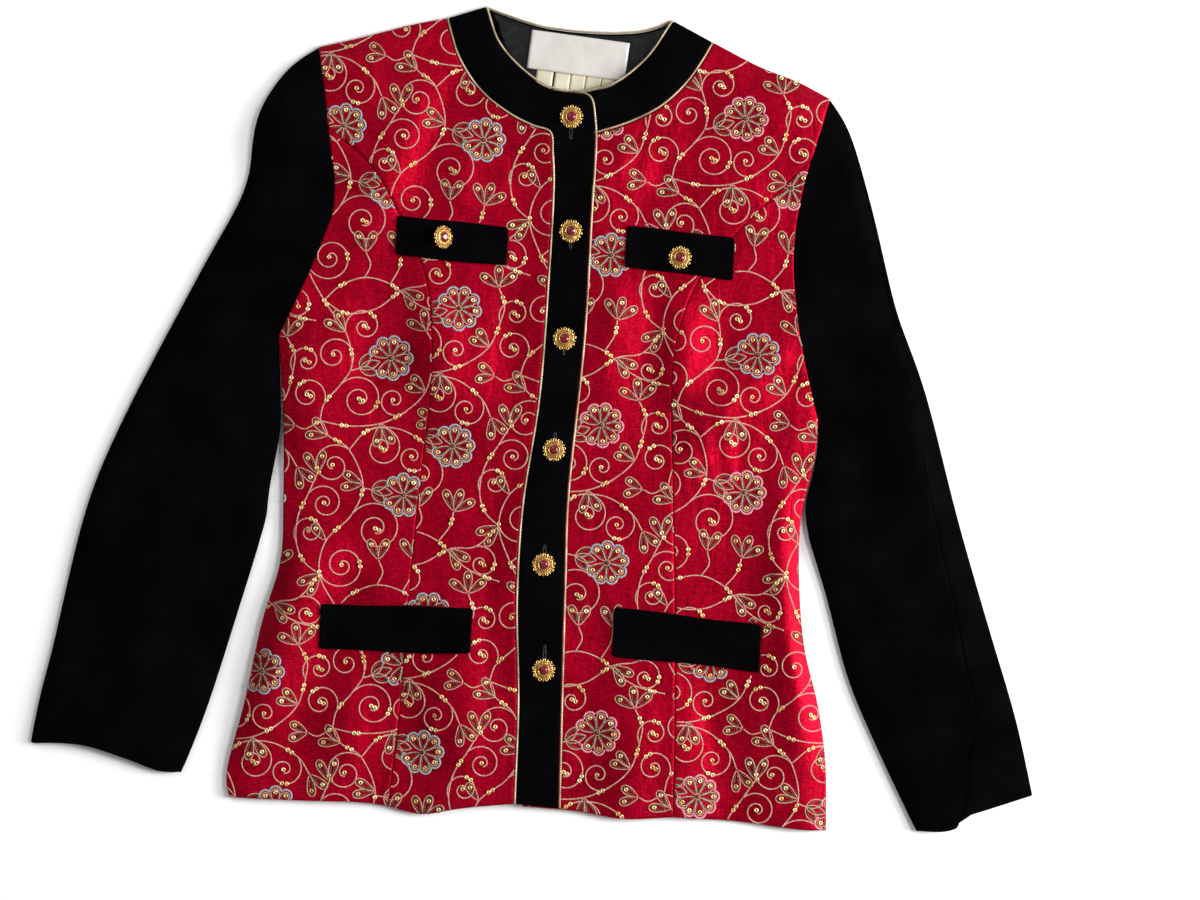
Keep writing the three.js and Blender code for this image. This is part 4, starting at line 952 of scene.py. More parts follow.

# %% [markdown]
# ## The embroidery's thread lines
# The embroidery is chain stitch: vines, spirals that curl off them, drop-shaped leaves in twos
# and threes, and round flowers with a crown on one side. Its repeat is laid out here, as a layout
# of its own, in millimetres, and each kind of shape is a few lines of code that give its thread
# lines.

# %% The embroidery's thread lines
REPEAT_WIDTH = 112.0
REPEAT_HEIGHT = 246.0
STITCH_STEP = 1.25
SPIRAL_READS = 3.6  # points for each turn and millimetre of radius
SPIRAL_CLOSES = 0.86
DROP_READS = 1.9  # points for each millimetre of length
DROP_NARROW, DROP_FULL = 0.35, 1.12  # width near the point, and the widest, as shares
DROP_BASE, DROP_ENDS = 1.6, 2.4  # how many insets shorter it is at its base, and in all
SPIRAL_FEWEST, DROP_FEWEST = 12, 14  # points


def smooth_line(points, step=STITCH_STEP):
    """A smooth line in plan through points, in millimetres, read at even steps."""
    line, _ = even_line(np.array([(*p, 0.0) for p in points], float), step)
    return line[:, :2]


def spiral(start, centre, turns, hand):
    """A thread that leaves a vine at start and curls in round a centre."""
    dx, dy = start[0] - centre[0], start[1] - centre[1]
    first, radius = math.atan2(dy, dx), math.hypot(dx, dy)
    t = np.linspace(0, 1, max(SPIRAL_FEWEST, int(radius * turns * SPIRAL_READS)))
    angle = first + hand * 2 * math.pi * turns * t
    reach = radius * (1 - SPIRAL_CLOSES * t**0.9)
    return np.column_stack([centre[0] + reach * np.cos(angle), centre[1] + reach * np.sin(angle)])


def drop(base, heading, length, width, inset=0.0, pointed=False):
    """A closed drop: pointed at its base, round or pointed at its far end, drawn in by inset."""
    t = np.linspace(0, 2 * math.pi, max(DROP_FEWEST, int(length * DROP_READS)))
    far = (1 - np.cos(t)) / 2
    along = inset * DROP_BASE + (length - DROP_ENDS * inset) * far
    across = (width / 2 - inset) * np.sin(t)
    if pointed:
        across = across * abs(np.sin(t))
    else:
        across = across * (DROP_NARROW + (1 - DROP_NARROW) * far) * DROP_FULL
    c, s = math.cos(math.radians(heading)), math.sin(math.radians(heading))
    return np.column_stack([base[0] + along * c - across * s, base[1] + along * s + across * c])


def ahead(base, heading, distance):
    """A point some way from a base."""
    turn = math.radians(heading)
    return (base[0] + distance * math.cos(turn), base[1] + distance * math.sin(turn))


# %% [markdown]
# ## The repeat
# One repeat is 112 by 246 mm. Two vines climb through it, joined by pairs of threads that cross
# and leave long loops. What leaves it on one side comes in on the other.

# %% The repeat
VINES = [
    # points that each vine runs through
    [(14, 0), (18, 14), (31, 28), (41, 44), (37, 70), (21, 96), (9, 124)]
    + [(15, 150), (36, 170), (46, 194), (36, 222), (20, 234), (14, 246)],
    [(21, 96), (38, 85), (62, 88), (84, 102), (104, 106), (121, 124)],
    [(21, 96), (34, 107), (54, 113), (74, 107), (92, 92), (108, 84), (126, 80)],
    [(36, 222), (52, 237), (76, 237), (97, 224), (106, 210)],
    [(14, 0), (36, -5), (62, -4), (84, 6), (99, 20), (106, 40)],
    [(9, 124), (-3, 134), (-9, 150), (-7, 170), (2, 188), (10, 204)],
    [(74, 107), (82, 120), (84, 132)],
    [(54, 113), (59, 123), (56, 133)],
    [(106, 40), (108, 54), (102, 68)],
    [(14, 246), (2, 240), (-6, 243)],
]
SPIRALS = [
    # where it leaves the vine, its centre, turns, and the way it curls
    ((31, 28), (46, 16), 1.7, -1),
    ((41, 44), (27, 52), 1.5, 1),
    ((37, 70), (52, 74), 1.5, -1),
    ((9, 124), (27, 130), 1.75, 1),
    ((36, 170), (55, 158), 1.7, -1),
    ((36, 222), (23, 210), 1.6, 1),
    ((18, 14), (5, 21), 1.5, 1),
    ((2, 188), (15, 180), 1.6, -1),
    ((104, 106), (110, 93), 1.3, -1),
    ((97, 224), (86, 214), 1.4, -1),
    ((52, 237), (62, 222), 1.6, -1),
    ((-9, 150), (2, 158), 1.5, -1),
    ((106, 40), (117, 48), 1.4, -1),
    ((84, 6), (73, 14), 1.35, -1),
]
LEAVES = [
    # where the leaves meet, the heading of each, and their length
    ((84, 132), (118, 76, 34), 18),
    ((37, 70), (150, 112), 18),
    ((46, 194), (146, 186), 17),
    ((10, 204), (72, 118), 18),
    ((62, -4), (-60, -104), 18),
    ((84, 102), (-62, -24), 17),
    ((106, 210), (-40, -84), 17),
    ((56, 133), (112, 64), 17),
    ((9, 124), (-118, -158), 18),
    ((15, 150), (128,), 16),
    ((102, 68), (150, 96, 44), 17),
    ((20, 234), (176, 128), 17),
    ((99, 20), (164, 128), 16),
    ((-6, 243), (196, 148), 15),
]
FLOWERS = [
    # centre, heading of the crown, radius, colour, where its stem meets the vine
    ((72, 48), 196, 17.8, 0, (39.5, 39)),
    ((78, 184), 168, 17.4, 1, (45, 191)),
]
PETALS = 8
PETAL_WIDTH = 11.6
PETAL_INNER = 10.3, 1.5, 1.0  # width, how much shorter, and inset of the tan line in a petal
PETAL_VEIN = 10.1, 2.1, 2.3  # the same of the brown line in that
LEAF_WIDTH, LEAF_VEIN_INSET = 8.2, 1.8
CROWN_LEAVES = ((-36, 15), (0, 17), (36, 15))  # heading off the stem, and length
CROWN_WIDTH, CROWN_VEIN_INSET, CROWN_AWAY = 7.0, 1.6, 8.5
LEAF_ROOT, PETAL_ROOT = 1.0, 0.2  # from where they meet to where each begins
VEIN_OPEN = 2  # points left out at each end of the brown line in a leaf
LEAF_SEQUIN, PETAL_SEQUIN = 0.74, 0.72  # place of the sequin, as a share of the length
SPIRAL_SEQUINS = ((-0.6, 0.4), (2.4, -1.2))  # from the centre; every second spiral has both
PAIR_EVERY = 44.0  # between two pairs of sequins along a vine
PAIR_FIRST, PAIR_SHORTEST, PAIR_VARIES = 0.4, 0.72, 0.4  # as shares of that
PAIR_END = 8.0  # no pair nearer to the end of a vine
PAIR_APART = 3  # points between the two of a pair


def repeat_of_embroidery():
    """Thread lines by kind, and the places of the sequins and beads, in one repeat."""
    threads = {"vine": [], "leaf": [], "petal_0": [], "petal_1": [], "vein": []}
    sequins, beads = [], []
    for points in VINES:
        line = smooth_line(points)
        threads["vine"].append(line)
        at = PAIR_EVERY * PAIR_FIRST
        while at < len(line) * STITCH_STEP - PAIR_END:
            i = int(at / STITCH_STEP)
            sequins += [tuple(line[i]), tuple(line[i + PAIR_APART])]
            # 0 to 4 quarters, in an order that looks like chance
            at += PAIR_EVERY * (PAIR_SHORTEST + PAIR_VARIES * ((i * 7) % 5) / 4)
    for n, (start, centre, turns, hand) in enumerate(SPIRALS):
        line = spiral(start, centre, turns, hand)
        threads["vine"].append(line)
        for dx, dy in SPIRAL_SEQUINS[: 2 - n % 2]:
            sequins.append((centre[0] + dx, centre[1] + dy))
        if n % 3 != 1:
            i = len(line) // 4
            sequins += [tuple(line[i]), tuple(line[i + PAIR_APART])]
    for base, headings, length in LEAVES:
        for heading in headings:
            root = ahead(base, heading, LEAF_ROOT)
            threads["leaf"].append(drop(root, heading, length, LEAF_WIDTH))
            inner = drop(root, heading, length, LEAF_WIDTH, LEAF_VEIN_INSET)
            threads["vein"].append(inner[VEIN_OPEN:-VEIN_OPEN])
            sequins.append(ahead(root, heading, length * LEAF_SEQUIN))
    for centre, crown, radius, colour, stem in FLOWERS:
        step = 360 / (PETALS + 1)
        for k in range(1, PETALS + 1):
            heading = crown + step * k
            root = ahead(centre, heading, PETAL_ROOT)
            outline = drop(root, heading, radius - PETAL_ROOT, PETAL_WIDTH)
            third = len(outline) // 3
            threads[f"petal_{colour}"].append(outline[third:-third])
            for kind, (width, shorter, inset) in (("leaf", PETAL_INNER), ("vein", PETAL_VEIN)):
                threads[kind].append(drop(root, heading, radius - shorter, width, inset))
            sequins.append(ahead(root, heading, radius * PETAL_SEQUIN))
        foot = ahead(centre, crown, radius + CROWN_AWAY)
        for side, reach in CROWN_LEAVES:
            towards = crown + 180 + side
            threads["leaf"].append(drop(foot, towards, reach, CROWN_WIDTH, pointed=True))
            inner = drop(foot, towards, reach, CROWN_WIDTH, CROWN_VEIN_INSET, pointed=True)
            threads["vein"].append(inner[VEIN_OPEN:-VEIN_OPEN])
        threads["vine"].append(smooth_line([foot, stem]))
        beads.append(centre)
    return threads, sequins, beads


THREADS, SEQUINS, BEADS = repeat_of_embroidery()
print("thread lines in one repeat:", {kind: len(lines) for kind, lines in THREADS.items()})
print("sequins", len(SEQUINS), "beads", len(BEADS))

# %% [markdown]
# ## Laying the embroidery on the cloth
# The cloth was embroidered before it was cut, so each front has its own part of the pattern, cut
# off at the seams. The repeat is laid on each front with a shift and a slight turn of its own. A
# ray from above finds the cloth under each stitch, and a stitch stays only where that front is
# the first thing the ray meets.

# %% Laying the embroidery on the cloth
FRONT_PATTERN = {
    # shift across and up in millimetres, turn in degrees, and the thread of its two flowers
    "front_right_side": (-196, -16, 5, "blue", "blue"),
    "front_right_centre": (-150, 36, -3, "blue", "blue"),
    "front_left_centre": (-28, -58, 2, "pink", "blue"),
    "front_left_side": (88, 14, -6, "blue", "pink"),
}
REPEATS_ACROSS, REPEATS_UP = range(-8, 9), range(-5, 6)
# how far outside a front a repeat may begin, in millimetres
BEFORE_FRONT = 1.2 * REPEAT_HEIGHT
BEYOND_FRONT = (40, 60)
MIN_STITCHES = 4
SEQUIN_CLEAR = 0.0014  # a sequin is sewn on only where the cloth goes on this far round its middle
AROUND = ((0, 0), (1, 0), (-1, 0), (0, 1), (0, -1))
ABOVE_ALL = 0.1
top_corners, top_faces, top_owner = [], [], []
for node, grid in panel_top.items():
    rows, columns = grid.shape[:2]
    at = np.arange(rows * columns).reshape(rows, columns) + sum(len(c) for c in top_corners)
    top_faces.append(np.stack([at[:-1, :-1], at[1:, :-1], at[1:, 1:], at[:-1, 1:]], -1).reshape(-1, 4))
    top_corners.append(grid.reshape(-1, 3))
    top_owner += [node] * ((rows - 1) * (columns - 1))
cloth_tree = BVHTree.FromPolygons(
    np.concatenate(top_corners).tolist(), np.concatenate(top_faces).tolist()
)
print("cells that the rays can meet:", len(top_owner))


def on_cloth(x, y):
    """The cloth under a point in plan, in metres: its place, its normal and its panel."""
    place, normal, face, _ = cloth_tree.ray_cast(Vector((x, y, ABOVE_ALL)), Vector((0, 0, -1)))
    return (place, normal, top_owner[face]) if place else (None, None, None)


def shifted(px, py, shift_x, shift_y, turn):
    """A point of the repeat, in millimetres, turned and shifted, in metres."""
    c, s = math.cos(math.radians(turn)), math.sin(math.radians(turn))
    return (c * px - s * py + shift_x) * MM, (s * px + c * py + shift_y) * MM


def laid_runs(line, shift_x, shift_y, turn, node):
    """The parts of a thread line that lie on one front: places and normals in metres."""
    runs, places, normals = [], [], []
    for px, py in line:
        place, normal, owner = on_cloth(*shifted(px, py, shift_x, shift_y, turn))
        if owner == node:
            places.append(place[:])
            normals.append(normal[:])
        elif places:
            runs.append((np.array(places), np.array(normals)))
            places, normals = [], []
    if places:
        runs.append((np.array(places), np.array(normals)))
    return [run for run in runs if len(run[0]) >= MIN_STITCHES]


def repeats_over(node):
    """Shifts of the repeat that cover a front."""
    shift_x, shift_y, turn = FRONT_PATTERN[node][:3]
    lo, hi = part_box(node)
    c, s = math.cos(math.radians(turn)), math.sin(math.radians(turn))
    left, right = lo.x / MM - BEFORE_FRONT, hi.x / MM + BEYOND_FRONT[0]
    lowest, highest = lo.y / MM - BEFORE_FRONT, hi.y / MM + BEYOND_FRONT[1]
    for i in REPEATS_ACROSS:
        for j in REPEATS_UP:
            x = shift_x + c * i * REPEAT_WIDTH - s * j * REPEAT_HEIGHT
            y = shift_y + s * i * REPEAT_WIDTH + c * j * REPEAT_HEIGHT
            if left < x < right and lowest < y < highest:
                yield x, y, turn


laid = {kind: [] for kind in ("vine", "leaf", "vein", "blue", "pink")}
laid_sequins, laid_beads = [], []
for node, (_, _, _, first, second) in FRONT_PATTERN.items():
    kind_of = {"petal_0": first, "petal_1": second}
    for x0, y0, turn in repeats_over(node):
        for kind, lines in THREADS.items():
            for line in lines:
                laid[kind_of.get(kind, kind)] += laid_runs(line, x0, y0, turn, node)
        for places, kept in ((SEQUINS, laid_sequins), (BEADS, laid_beads)):
            for px, py in places:
                x, y = shifted(px, py, x0, y0, turn)
                around = [on_cloth(x + i * SEQUIN_CLEAR, y + j * SEQUIN_CLEAR) for i, j in AROUND]
                if all(owner == node for _, _, owner in around):
                    kept.append(around[0][:2])
print("stitches laid:", {kind: sum(len(run[0]) for run in runs) for kind, runs in laid.items()})
print("sequins", len(laid_sequins), "beads", len(laid_beads))

# %% [markdown]
# ## Thread
# The threads are matt rayon and cotton, and the tan and the brown one have a little metal spun in.
# Chain stitch stands about half a millimetre proud and is 1 to 2 mm wide. Each run of it becomes
# a low ridge with sloping sides, sunk a little in the cloth. Its links, a millimetre or so long,
# are finer than the render shows, so they are bump along the run, and colour with painted shade
# where one link dips under the next and painted light on their crowns, mixed with an uneven tone.

# %% Thread
THREAD_SUNK = 0.0003
THREAD_TOP = 0.45  # half the width of a ridge's top, as a share of half its foot
RIDGE_MAP = (0, 0.0005, 0.001, 0.0015)  # places of the four corners of its section on the map
WAVE_LENGTH = 0.314  # of a wave texture at scale 1, in metres


def thread_finish(name, dark, light, link, roughness=0.5, metallic=0.0):
    """Stitching: links a given length in metres, painted from shade where they dip to light on their
    crowns, with an uneven tone mixed in.
    """
    material, tree = new_material(name)
    along_run = add_node(tree, "ShaderNodeUVMap", uv_map="cloth")
    links = add_node(
        tree,
        "ShaderNodeTexWave",
        {"Vector": (along_run, "UV"), "Scale": WAVE_LENGTH / link, "Distortion": 1.2, "Detail": 1},
    )
    uneven = add_node(tree, "ShaderNodeTexNoise", {"Vector": (along_run, "UV"), "Scale": 330, "Detail": 2})
    link_shade_and_tone = add_node(tree, "ShaderNodeMix", {"Factor": 0.65}, data_type="FLOAT")
    tree.links.new(links.outputs["Fac"], link_shade_and_tone.inputs["A"])
    tree.links.new(uneven.outputs["Fac"], link_shade_and_tone.inputs["B"])
    # painted shade where the links dip and painted light on their crowns, mixed with an uneven tone
    tone = add_node(tree, "ShaderNodeValToRGB", {"Fac": (link_shade_and_tone, "Result")})
    set_stops(tone, [(0.34, dark), (0.64, light)])
    bump = add_node(tree, "ShaderNodeBump", {"Height": (links, "Fac"), "Strength": 0.7, "Distance": 0.0003})
    finish = {"Base Color": (tone, "Color"), "Normal": (bump, "Normal")}
    finish |= {"Roughness": roughness, "Metallic": metallic}
    shader = add_node(tree, "ShaderNodeBsdfPrincipled", finish)
    add_node(tree, "ShaderNodeOutputMaterial", {"Surface": (shader, "BSDF")})
    return material


gold_thread = thread_finish("chain_stitch_rose_gold", "87503f", "dcae98", 0.0011, 0.45, 0.15)
blue_thread = thread_finish("chain_stitch_pale_blue", "5e7882", "a4b8be", 0.0012)
pink_thread = thread_finish("chain_stitch_dusty_pink", "a65c68", "dea4aa", 0.0012)
brown_thread = thread_finish("couched_thread_brown", "220d08", "6a4228", 0.0016, 0.4, 0.2)


def thread_ridges(name, runs, width, height, material):
    """All runs of one thread as one mesh of low closed ridges."""
    corners, faces, places = [], [], []
    sides, count = len(RIDGE_MAP), 0
    for points, normals in runs:
        n = len(points)
        forward = np.gradient(points, axis=0)
        forward /= np.maximum(np.linalg.norm(forward, axis=1), 1e-9)[:, None]
        side = np.cross(forward, normals)
        side /= np.maximum(np.linalg.norm(side, axis=1), 1e-9)[:, None]
        half = width / 2
        top = half * THREAD_TOP
        section = [(-half, -THREAD_SUNK), (-top, height), (top, height), (half, -THREAD_SUNK)]
        ring = np.stack([points + a * side + b * normals for a, b in section], 1)
        at = np.arange(n * sides).reshape(n, sides) + count
        after = np.roll(at, -1, axis=1)
        faces += np.stack([at[:-1], after[:-1], after[1:], at[1:]], -1).reshape(-1, 4).tolist()
        faces += [at[0, ::-1].tolist(), at[-1].tolist()]
        length = np.concatenate([[0], np.cumsum(np.linalg.norm(np.diff(points, axis=0), axis=1))])
        places.append(np.stack([np.repeat(length, sides), np.tile(RIDGE_MAP, n)], 1))
        corners.append(ring.reshape(-1, 3))
        count += sides * n
    made = make_mesh(name, np.concatenate(corners), faces, material)
    used = np.zeros(len(made.data.loops), int)
    made.data.loops.foreach_get("vertex_index", used)
    made.data.uv_layers["cloth"].data.foreach_set("uv", np.concatenate(places)[used].ravel())
    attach(made, "root")
    print(name, "runs", len(runs), "triangles", 2 * len(faces))
    return made


# width and height in metres
thread_ridges("embroidery_vines", laid["vine"], 0.0015, 0.00045, gold_thread)
thread_ridges("embroidery_leaves", laid["leaf"], 0.0012, 0.00045, gold_thread)
thread_ridges("embroidery_veins", laid["vein"], 0.0015, 0.00035, brown_thread)
thread_ridges("embroidery_petals_blue", laid["blue"], 0.0020, 0.00050, blue_thread)
thread_ridges("embroidery_petals_pink", laid["pink"], 0.0021, 0.00050, pink_thread)

# %% [markdown]
# ## Sequins and beads
# The sequins are pale gold discs 3.6 mm across, slightly cupped, with a hole in the middle, sewn
# on so that each tilts its own way and catches the light at its own moment. One is modelled as a
# ring with few faces and repeated in a single mesh. A dark bead 3 mm across sits in the heart of
# each flower.

# %% Sequins and beads
SEQUIN_RADIUS = 0.0018
SEQUIN_HOLE = 0.0007
SEQUIN_TILT = math.radians(9)
SEQUIN_SIDES = 12
BEAD_SIDES = 8
BEAD_TILT = 0.1
scatter = random.Random(41)

# metallised plastic, stamped: a soft gold mirror, with a hint of its pale backing
sequin_gold, tree = new_material("sequin_pale_gold")
place = add_node(tree, "ShaderNodeTexCoord")
cloud = add_node(tree, "ShaderNodeTexNoise", {"Vector": (place, "Object"), "Scale": 140, "Detail": 1})
tone = add_node(tree, "ShaderNodeValToRGB", {"Fac": (cloud, "Fac")})
set_stops(tone, [(0.35, "cfa25c"), (0.65, "f2d8a2")])
shader = add_node(
    tree, "ShaderNodeBsdfPrincipled", {"Base Color": (tone, "Color"), "Metallic": 0.6, "Roughness": 0.34}
)
add_node(tree, "ShaderNodeOutputMaterial", {"Surface": (shader, "BSDF")})

# pressed glass, dark and smooth, with a small sharp highlight
glass_bead, tree = new_material("bead_black_glass")
place = add_node(tree, "ShaderNodeTexCoord")
cloud = add_node(tree, "ShaderNodeTexNoise", {"Vector": (place, "Object"), "Scale": 300, "Detail": 1})
tone = add_node(tree, "ShaderNodeValToRGB", {"Fac": (cloud, "Fac")})
set_stops(tone, [(0.35, "10100c"), (0.65, "4c4a2c")])
shader = add_node(tree, "ShaderNodeBsdfPrincipled", {"Base Color": (tone, "Color"), "Roughness": 0.15})
add_node(tree, "ShaderNodeOutputMaterial", {"Surface": (shader, "BSDF")})


def scattered(name, spots, section, sides, tilt, material):
    """Copies of a small turned shape on the cloth, as one mesh. section is radius and height."""
    corners, faces = [], []
    turn = np.arange(sides) * 2 * math.pi / sides
    rows = len(section)
    base = np.array([(r * math.cos(a), r * math.sin(a), z) for r, z in section for a in turn])
    at = np.arange(rows * sides).reshape(rows, sides)
    above = np.roll(at, -1, axis=0)
    cells = np.stack([at, np.roll(at, -1, axis=1), np.roll(above, -1, axis=1), above], -1).reshape(-1, 4)
    for n, (spot, normal) in enumerate(spots):
        leaning = Vector(normal) + Vector((scatter.uniform(-tilt, tilt), scatter.uniform(-tilt, tilt), 0))
        matrix = np.array(leaning.to_track_quat("Z", "Y").to_matrix())
        corners.append(base @ matrix.T + np.array(spot))
        faces.append(cells + n * len(base))
    made = make_mesh(name, np.concatenate(corners), np.concatenate(faces).tolist(), material)
    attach(made, "root")
    print(name, "copies", len(spots), "triangles", 2 * len(made.data.polygons))
    return made


# radius and height of each corner of the section, from the inside underneath round to the top
sequin_section = [
    (SEQUIN_HOLE, 0.00044),
    (SEQUIN_RADIUS, 0.00056),
    (SEQUIN_RADIUS, 0.00072),
    (SEQUIN_HOLE, 0.00060),
]
bead_section = [(0.0001, -0.0001), (0.0010, 0.0000), (0.0015, 0.0007), (0.0011, 0.0014), (0.0001, 0.0018)]
scattered(
    "embroidery_sequins", laid_sequins, sequin_section, SEQUIN_SIDES, SEQUIN_TILT, sequin_gold
)
scattered("embroidery_beads", laid_beads, bead_section, BEAD_SIDES, BEAD_TILT, glass_bead)

# %% [markdown]
# ## A jewelled button
# Each button is a gilt casting 19 mm across with a faceted red stone set in its middle. Nine
# small eyelets stand round the rim with a pointed knob between each two, and gold grains run out
# from a bright ring that holds the stone. It is modelled once, lying at the origin and facing up,
# from a few primitives that are joined at the end.

# %% A jewelled button
PLATE_RADIUS, PLATE_THICK = 0.0073, 0.0012
PLATE_BORDER, PLATE_RISE = 0.0030, 0.0013
RINGS = ((0.0071, 0.00038, 0.0014), (0.0042, 0.00032, 0.0026))  # radius, thickness and height
EYELETS = 9
EYELET_CIRCLE, EYELET_HEIGHT = 0.0079, 0.0013
EYELET_RADIUS, EYELET_WIRE = 0.00105, 0.00044
KNOB_CIRCLE, KNOB_HEIGHT, KNOB_LENGTH = 0.0082, 0.0012, 0.0022
KNOB_FOOT, KNOB_POINT = 0.00085, 0.0002
GRAINS = 27
GRAIN_CIRCLE, GRAIN_HEIGHT = 0.0057, 0.00195
GRAIN_SIZE, GRAIN_SLOPE = (0.0012, 0.0005, 0.00055), math.radians(23)
STONE_RADIUS, STONE_SQUASH = 0.0039, 0.56
STONE_HEIGHT, STONE_FOOT, STONE_TABLE = 0.0024, 0.0023, 0.0043
SMOOTH_BELOW = math.radians(40)


def metal_or_stone(name, dark, light, metallic, roughness, coat=0.0):
    """A gilt or glassy finish, clouded a little between two tones."""
    material, tree = new_material(name)
    place = add_node(tree, "ShaderNodeTexCoord")
    cloud = add_node(tree, "ShaderNodeTexNoise", {"Vector": (place, "Object"), "Scale": 900, "Detail": 2})
    tone = add_node(tree, "ShaderNodeValToRGB", {"Fac": (cloud, "Fac")})
    set_stops(tone, [(0.35, dark), (0.65, light)])
    worn = add_node(tree, "ShaderNodeBump", {"Height": (cloud, "Fac"), "Strength": 0.3, "Distance": 0.0001})
    finish = {"Base Color": (tone, "Color"), "Normal": (worn, "Normal"), "Roughness": roughness}
    finish |= {"Metallic": metallic, "Coat Weight": coat}
    shader = add_node(tree, "ShaderNodeBsdfPrincipled", finish)
    add_node(tree, "ShaderNodeOutputMaterial", {"Surface": (shader, "BSDF")})
    return material


# cast and gilt: the raised parts are bright gold and the plate under them dark brown
gilt = metal_or_stone("gilt_raised_bright", "bc8636", "f2cc7c", 0.6, 0.28)
gilt_ground = metal_or_stone("gilt_ground_dull", "301a08", "7c501c", 0.7, 0.45)
# cut glass over foil, deep red with small sharp highlights
red_stone = metal_or_stone("cut_glass_garnet", "48050e", "860f20", 0.0, 0.2, 0.15)


def on_circle(radius, angle, height):
    """A place on a circle round the button's middle."""
    return (radius * math.cos(angle), radius * math.sin(angle), height)


bpy.ops.object.select_all(action="DESELECT")
bpy.ops.mesh.primitive_cylinder_add(
    vertices=36, radius=PLATE_RADIUS, depth=PLATE_THICK, location=(0, 0, PLATE_THICK / 2)
)
plate = bpy.context.object
bpy.ops.object.mode_set(mode="EDIT")
bpy.ops.mesh.select_all(action="DESELECT")
bpy.ops.object.mode_set(mode="OBJECT")
for face in plate.data.polygons:
    face.select = face.normal.z > LOOKS_STRAIGHT_UP
bpy.ops.object.mode_set(mode="EDIT")
bpy.ops.mesh.inset(thickness=PLATE_BORDER)
bpy.ops.transform.translate(value=(0, 0, PLATE_RISE))
bpy.ops.object.mode_set(mode="OBJECT")
parts = [plate]
for radius, thick, height in RINGS:
    bpy.ops.mesh.primitive_torus_add(
        major_segments=36,
        minor_segments=8,
        major_radius=radius,
        minor_radius=thick,
        location=(0, 0, height),
    )
    parts.append(bpy.context.object)
for k in range(EYELETS):
    angle = 2 * math.pi * k / EYELETS
    bpy.ops.mesh.primitive_torus_add(
        major_segments=16,
        minor_segments=8,
        major_radius=EYELET_RADIUS,
        minor_radius=EYELET_WIRE,
        location=on_circle(EYELET_CIRCLE, angle, EYELET_HEIGHT),
    )
    parts.append(bpy.context.object)
    angle += math.pi / EYELETS
    bpy.ops.mesh.primitive_cone_add(
        vertices=10,
        radius1=KNOB_FOOT,
        radius2=KNOB_POINT,
        depth=KNOB_LENGTH,
        location=on_circle(KNOB_CIRCLE, angle, KNOB_HEIGHT),
        rotation=(0, math.pi / 2, angle),
    )
    parts.append(bpy.context.object)
for k in range(GRAINS):
    angle = 2 * math.pi * k / GRAINS
    bpy.ops.mesh.primitive_ico_sphere_add(
        subdivisions=1,
        radius=1,
        location=on_circle(GRAIN_CIRCLE, angle, GRAIN_HEIGHT),
        rotation=(0, GRAIN_SLOPE, angle),
        scale=GRAIN_SIZE,
    )
    parts.append(bpy.context.object)
for piece in parts:
    piece.data.materials.append(gilt_ground if piece == plate else gilt)
print("gilt primitives:", len(parts))

# %% [markdown]
# ## The stone
# The stone is a squashed ball with few faces, cut flat below and again on top, where a cut stone
# has its table. It stays flat-shaded, so that each facet shows.

# %% The stone
bpy.ops.object.select_all(action="DESELECT")
bpy.ops.mesh.primitive_uv_sphere_add(
    segments=12,
    ring_count=8,
    radius=STONE_RADIUS,
    location=(0, 0, STONE_HEIGHT),
    scale=(1, 1, STONE_SQUASH),
)
stone = bpy.context.object
bpy.ops.object.transform_apply(location=True, rotation=True, scale=True)
for height, keep_above in ((STONE_FOOT, True), (STONE_TABLE, False)):
    bpy.ops.object.mode_set(mode="EDIT")
    bpy.ops.mesh.select_all(action="SELECT")
    bpy.ops.mesh.bisect(
        plane_co=(0, 0, height),
        plane_no=(0, 0, 1),
        use_fill=True,
        clear_inner=keep_above,
        clear_outer=not keep_above,
    )
    bpy.ops.object.mode_set(mode="OBJECT")
stone.data.materials.append(red_stone)
bpy.ops.object.select_all(action="DESELECT")
for piece in parts:
    piece.select_set(True)
bpy.context.view_layer.objects.active = plate
bpy.ops.object.shade_smooth_by_angle(angle=SMOOTH_BELOW)
stone.select_set(True)
bpy.ops.object.join()
bpy.ops.object.transform_apply(location=True, rotation=True, scale=True)
button_model = bpy.context.object.data
highest = max(v.co.z for v in button_model.vertices)
print("button faces:", len(button_model.polygons), "height mm", round(highest / MM, 2))

# %% [markdown]
# ## Eight buttons
# Each button of the frame has a flat scalloped base, which is its largest face. Its middle and
# its normal say where the button is sewn and how it leans, and its outermost point where a
# lobe of the rim is. Each gets its own copy of the mesh, moved there.

# %% Eight buttons


def seat_of(node):
    """The matrix that takes the button from the origin to a node's base."""
    solid = CAD_NODES[node]
    world = solid.matrix_world
    turned = world.to_3x3()
    groups = {}
    for face in solid.data.polygons:
        key = tuple(round(v, 2) for v in turned @ face.normal)
        groups.setdefault(key, []).append(face)
    base = max(groups.values(), key=lambda faces: sum(face.area for face in faces))
    area = sum(face.area for face in base)
    middle = sum(((world @ face.center) * face.area for face in base), Vector()) / area
    up = -(turned @ base[0].normal).normalized()
    corners = {i for face in base for i in face.vertices}
    rim = [world @ solid.data.vertices[i].co - middle for i in corners]
    # of the lobes, which are equally far out, the one on the right
    far = max(rim, key=lambda v: round(v.length, 5) + 0.001 * v.x)
    across = (far - up * far.dot(up)).normalized()
    turn = Matrix([across, up.cross(across), up]).transposed()
    return Matrix.Translation(middle) @ turn.to_4x4()


buttons = [node for node in CAD_NODES if node.startswith("button_")]
for node in buttons:
    mesh = button_model.copy()
    mesh.transform(seat_of(node))
    button = bpy.data.objects.new(f"jewelled_{node}", mesh)
    bpy.context.scene.collection.objects.link(button)
    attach(button, "root")
    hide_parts(node)
bpy.data.objects.remove(plate)
triangles = sum(len(face.vertices) - 2 for face in button_model.polygons)
print("buttons:", len(buttons), "triangles each", triangles)

# %% [markdown]
# ## Buttonholes
# A buttonhole runs along the band from under each button of the front. It is a slit with both
# lips overcast in black silk twist, which shines a little more than the velvet. The overcasting
# is one closed ridge round the slit, laid on the band as the embroidery is laid on the fronts.

